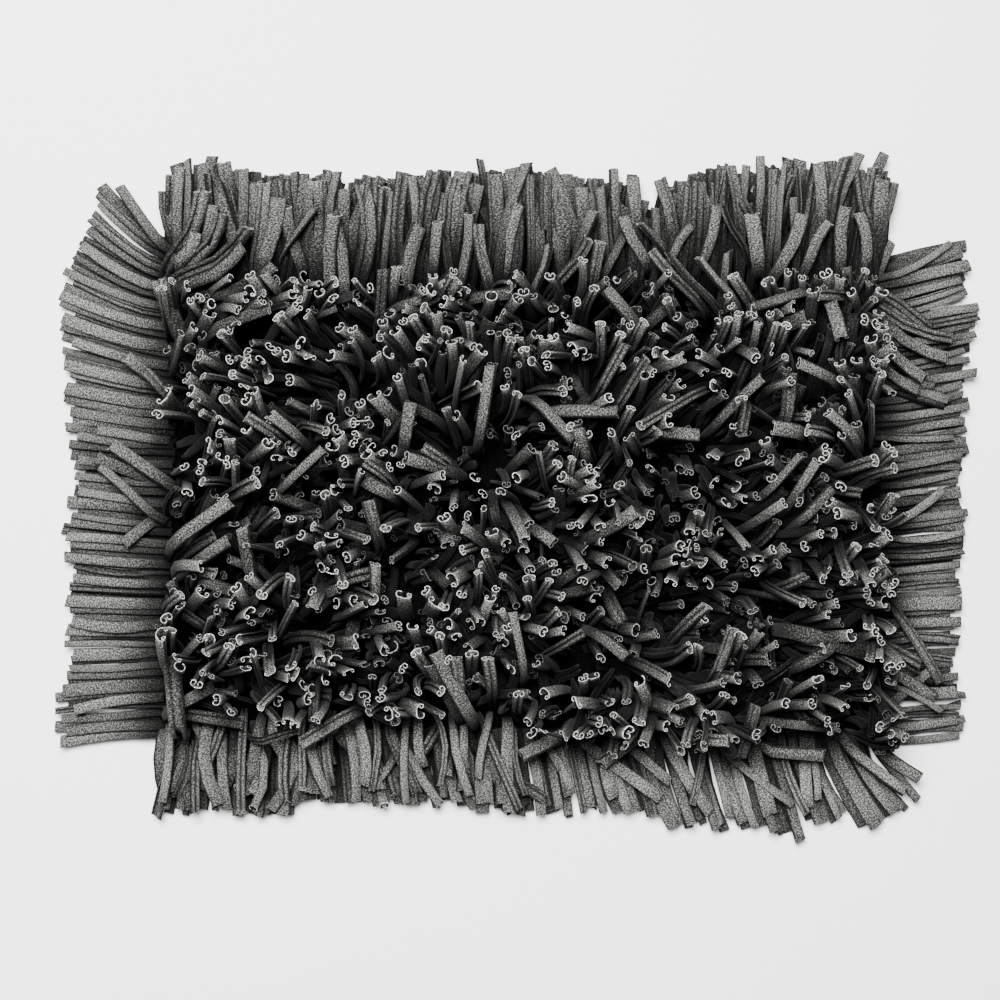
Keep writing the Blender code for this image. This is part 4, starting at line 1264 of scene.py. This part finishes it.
fringe_lit = np.stack([np.interp(fringe_shares, BEAD_SHARES, row) for row in light[len(roots) :]])
fringe_lit = fringe_lit**FRINGE_COVERED * np.interp(FRINGE_SHARES, *FRINGE_LIT)
# Painted light: the front fringe is drawn brighter by FRONT_FRINGE_GAIN.
fringe_lit[-len(fringe["fringe_front"][0]) :] *= FRONT_FRINGE_GAIN

# Fringe and pile made up, as a piece for each side of the fringe and each quarter of the pile. The pile's
# tips are cut back on their upper sides, so that their pale cut edges show from above.
FRINGE_CLOTH_SEED = 20
PILE_CLOTH_SEED = 40
FRINGE_BEVEL = (0, 0.1)
PILE_BEVEL = (0, 0.9)
QUARTERS = ("front_left", "front_right", "back_left", "back_right")
begin = 0
for number, (name, row) in enumerate(fringe.items()):
    end = begin + len(row[0])
    piece = strips(
        name + "_strips", *row, fringe_lit[begin:end],
        FRINGE_CURLS, FRINGE_BEVEL, np.random.default_rng(FRINGE_CLOTH_SEED + number),
    )
    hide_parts(name)
    begin = end
quarter_of = (roots[:, 0] > 0).astype(int) + 2 * (roots[:, 1] > 0)
for number, quarter in enumerate(QUARTERS):
    chosen = quarter_of == number
    piece = strips(
        "pile_" + quarter, pile_paths[chosen], pile_across[chosen], pile_widths[chosen], pile_lit[chosen],
        PILE_CURLS, PILE_BEVEL, np.random.default_rng(PILE_CLOTH_SEED + number),
    )
    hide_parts("pile")

# ---- Floor, light and camera: a pale floor, a wide soft light overhead and an even pale surround. The camera
# looks down, a little from the front left, and is turned so that the mat's long side lies level.

FLOOR_HALF = 4.0
FLOOR_HEIGHT = -0.1 * MM  # just under the base
floor_mesh = bpy.data.meshes.new("floor")
corners = [(x * FLOOR_HALF, y * FLOOR_HALF, FLOOR_HEIGHT) for x, y in ((-1, -1), (1, -1), (1, 1), (-1, 1))]
floor_mesh.from_pydata(corners, [], [(0, 1, 2, 3)])
floor = bpy.data.objects.new("floor", floor_mesh)
bpy.context.scene.collection.objects.link(floor)
pale, pale_shader = new_material("pale_floor", Roughness=0.9)
pale_shader.inputs["Base Color"].default_value = linear("#f2f2f2")
floor_mesh.materials.append(pale)

SURROUND = 0.35
world = bpy.data.worlds.new("surround")
bpy.context.scene.world = world
world.use_nodes = True
world.node_tree.nodes["Background"].inputs["Color"].default_value = (1, 1, 1, 1)
world.node_tree.nodes["Background"].inputs["Strength"].default_value = SURROUND

OVERHEAD_AT = Vector((-0.35, 0.45, 1.7))
OVERHEAD_SIZE = 0.9
OVERHEAD_WATTS = 160
lamp = bpy.data.lights.new("overhead", "AREA")
lamp.shape = "SQUARE"
lamp.size = OVERHEAD_SIZE
lamp.energy = OVERHEAD_WATTS
overhead = bpy.data.objects.new("overhead", lamp)
overhead.location = OVERHEAD_AT
overhead.rotation_euler = (-OVERHEAD_AT).to_track_quat("-Z", "Y").to_euler()
bpy.context.scene.collection.objects.link(overhead)

AZIMUTH, ELEVATION, ROLL = math.radians(-29), math.radians(81.8), math.radians(29.8)
TARGET = Vector((-15.5, -4.6, 0)) * MM
DISTANCE = 1142 * MM
LENS = 68.4
SENSOR = 36  # millimetres, as the lens
to_camera = Vector((
    math.sin(AZIMUTH) * math.cos(ELEVATION), -math.cos(AZIMUTH) * math.cos(ELEVATION), math.sin(ELEVATION)
))
right = Vector((math.cos(AZIMUTH), math.sin(AZIMUTH), 0))
above = to_camera.cross(right)
turned_right = right * math.cos(ROLL) + above * math.sin(ROLL)
turned_up = above * math.cos(ROLL) - right * math.sin(ROLL)
camera = bpy.data.objects.new("camera", bpy.data.cameras.new("camera"))
bpy.context.scene.collection.objects.link(camera)
camera.data.lens = LENS
camera.data.sensor_width = SENSOR
camera.matrix_world = Matrix.Translation(TARGET + to_camera * DISTANCE) @ Matrix((
    turned_right, turned_up, to_camera
)).transposed().to_4x4()
bpy.context.scene.camera = camera
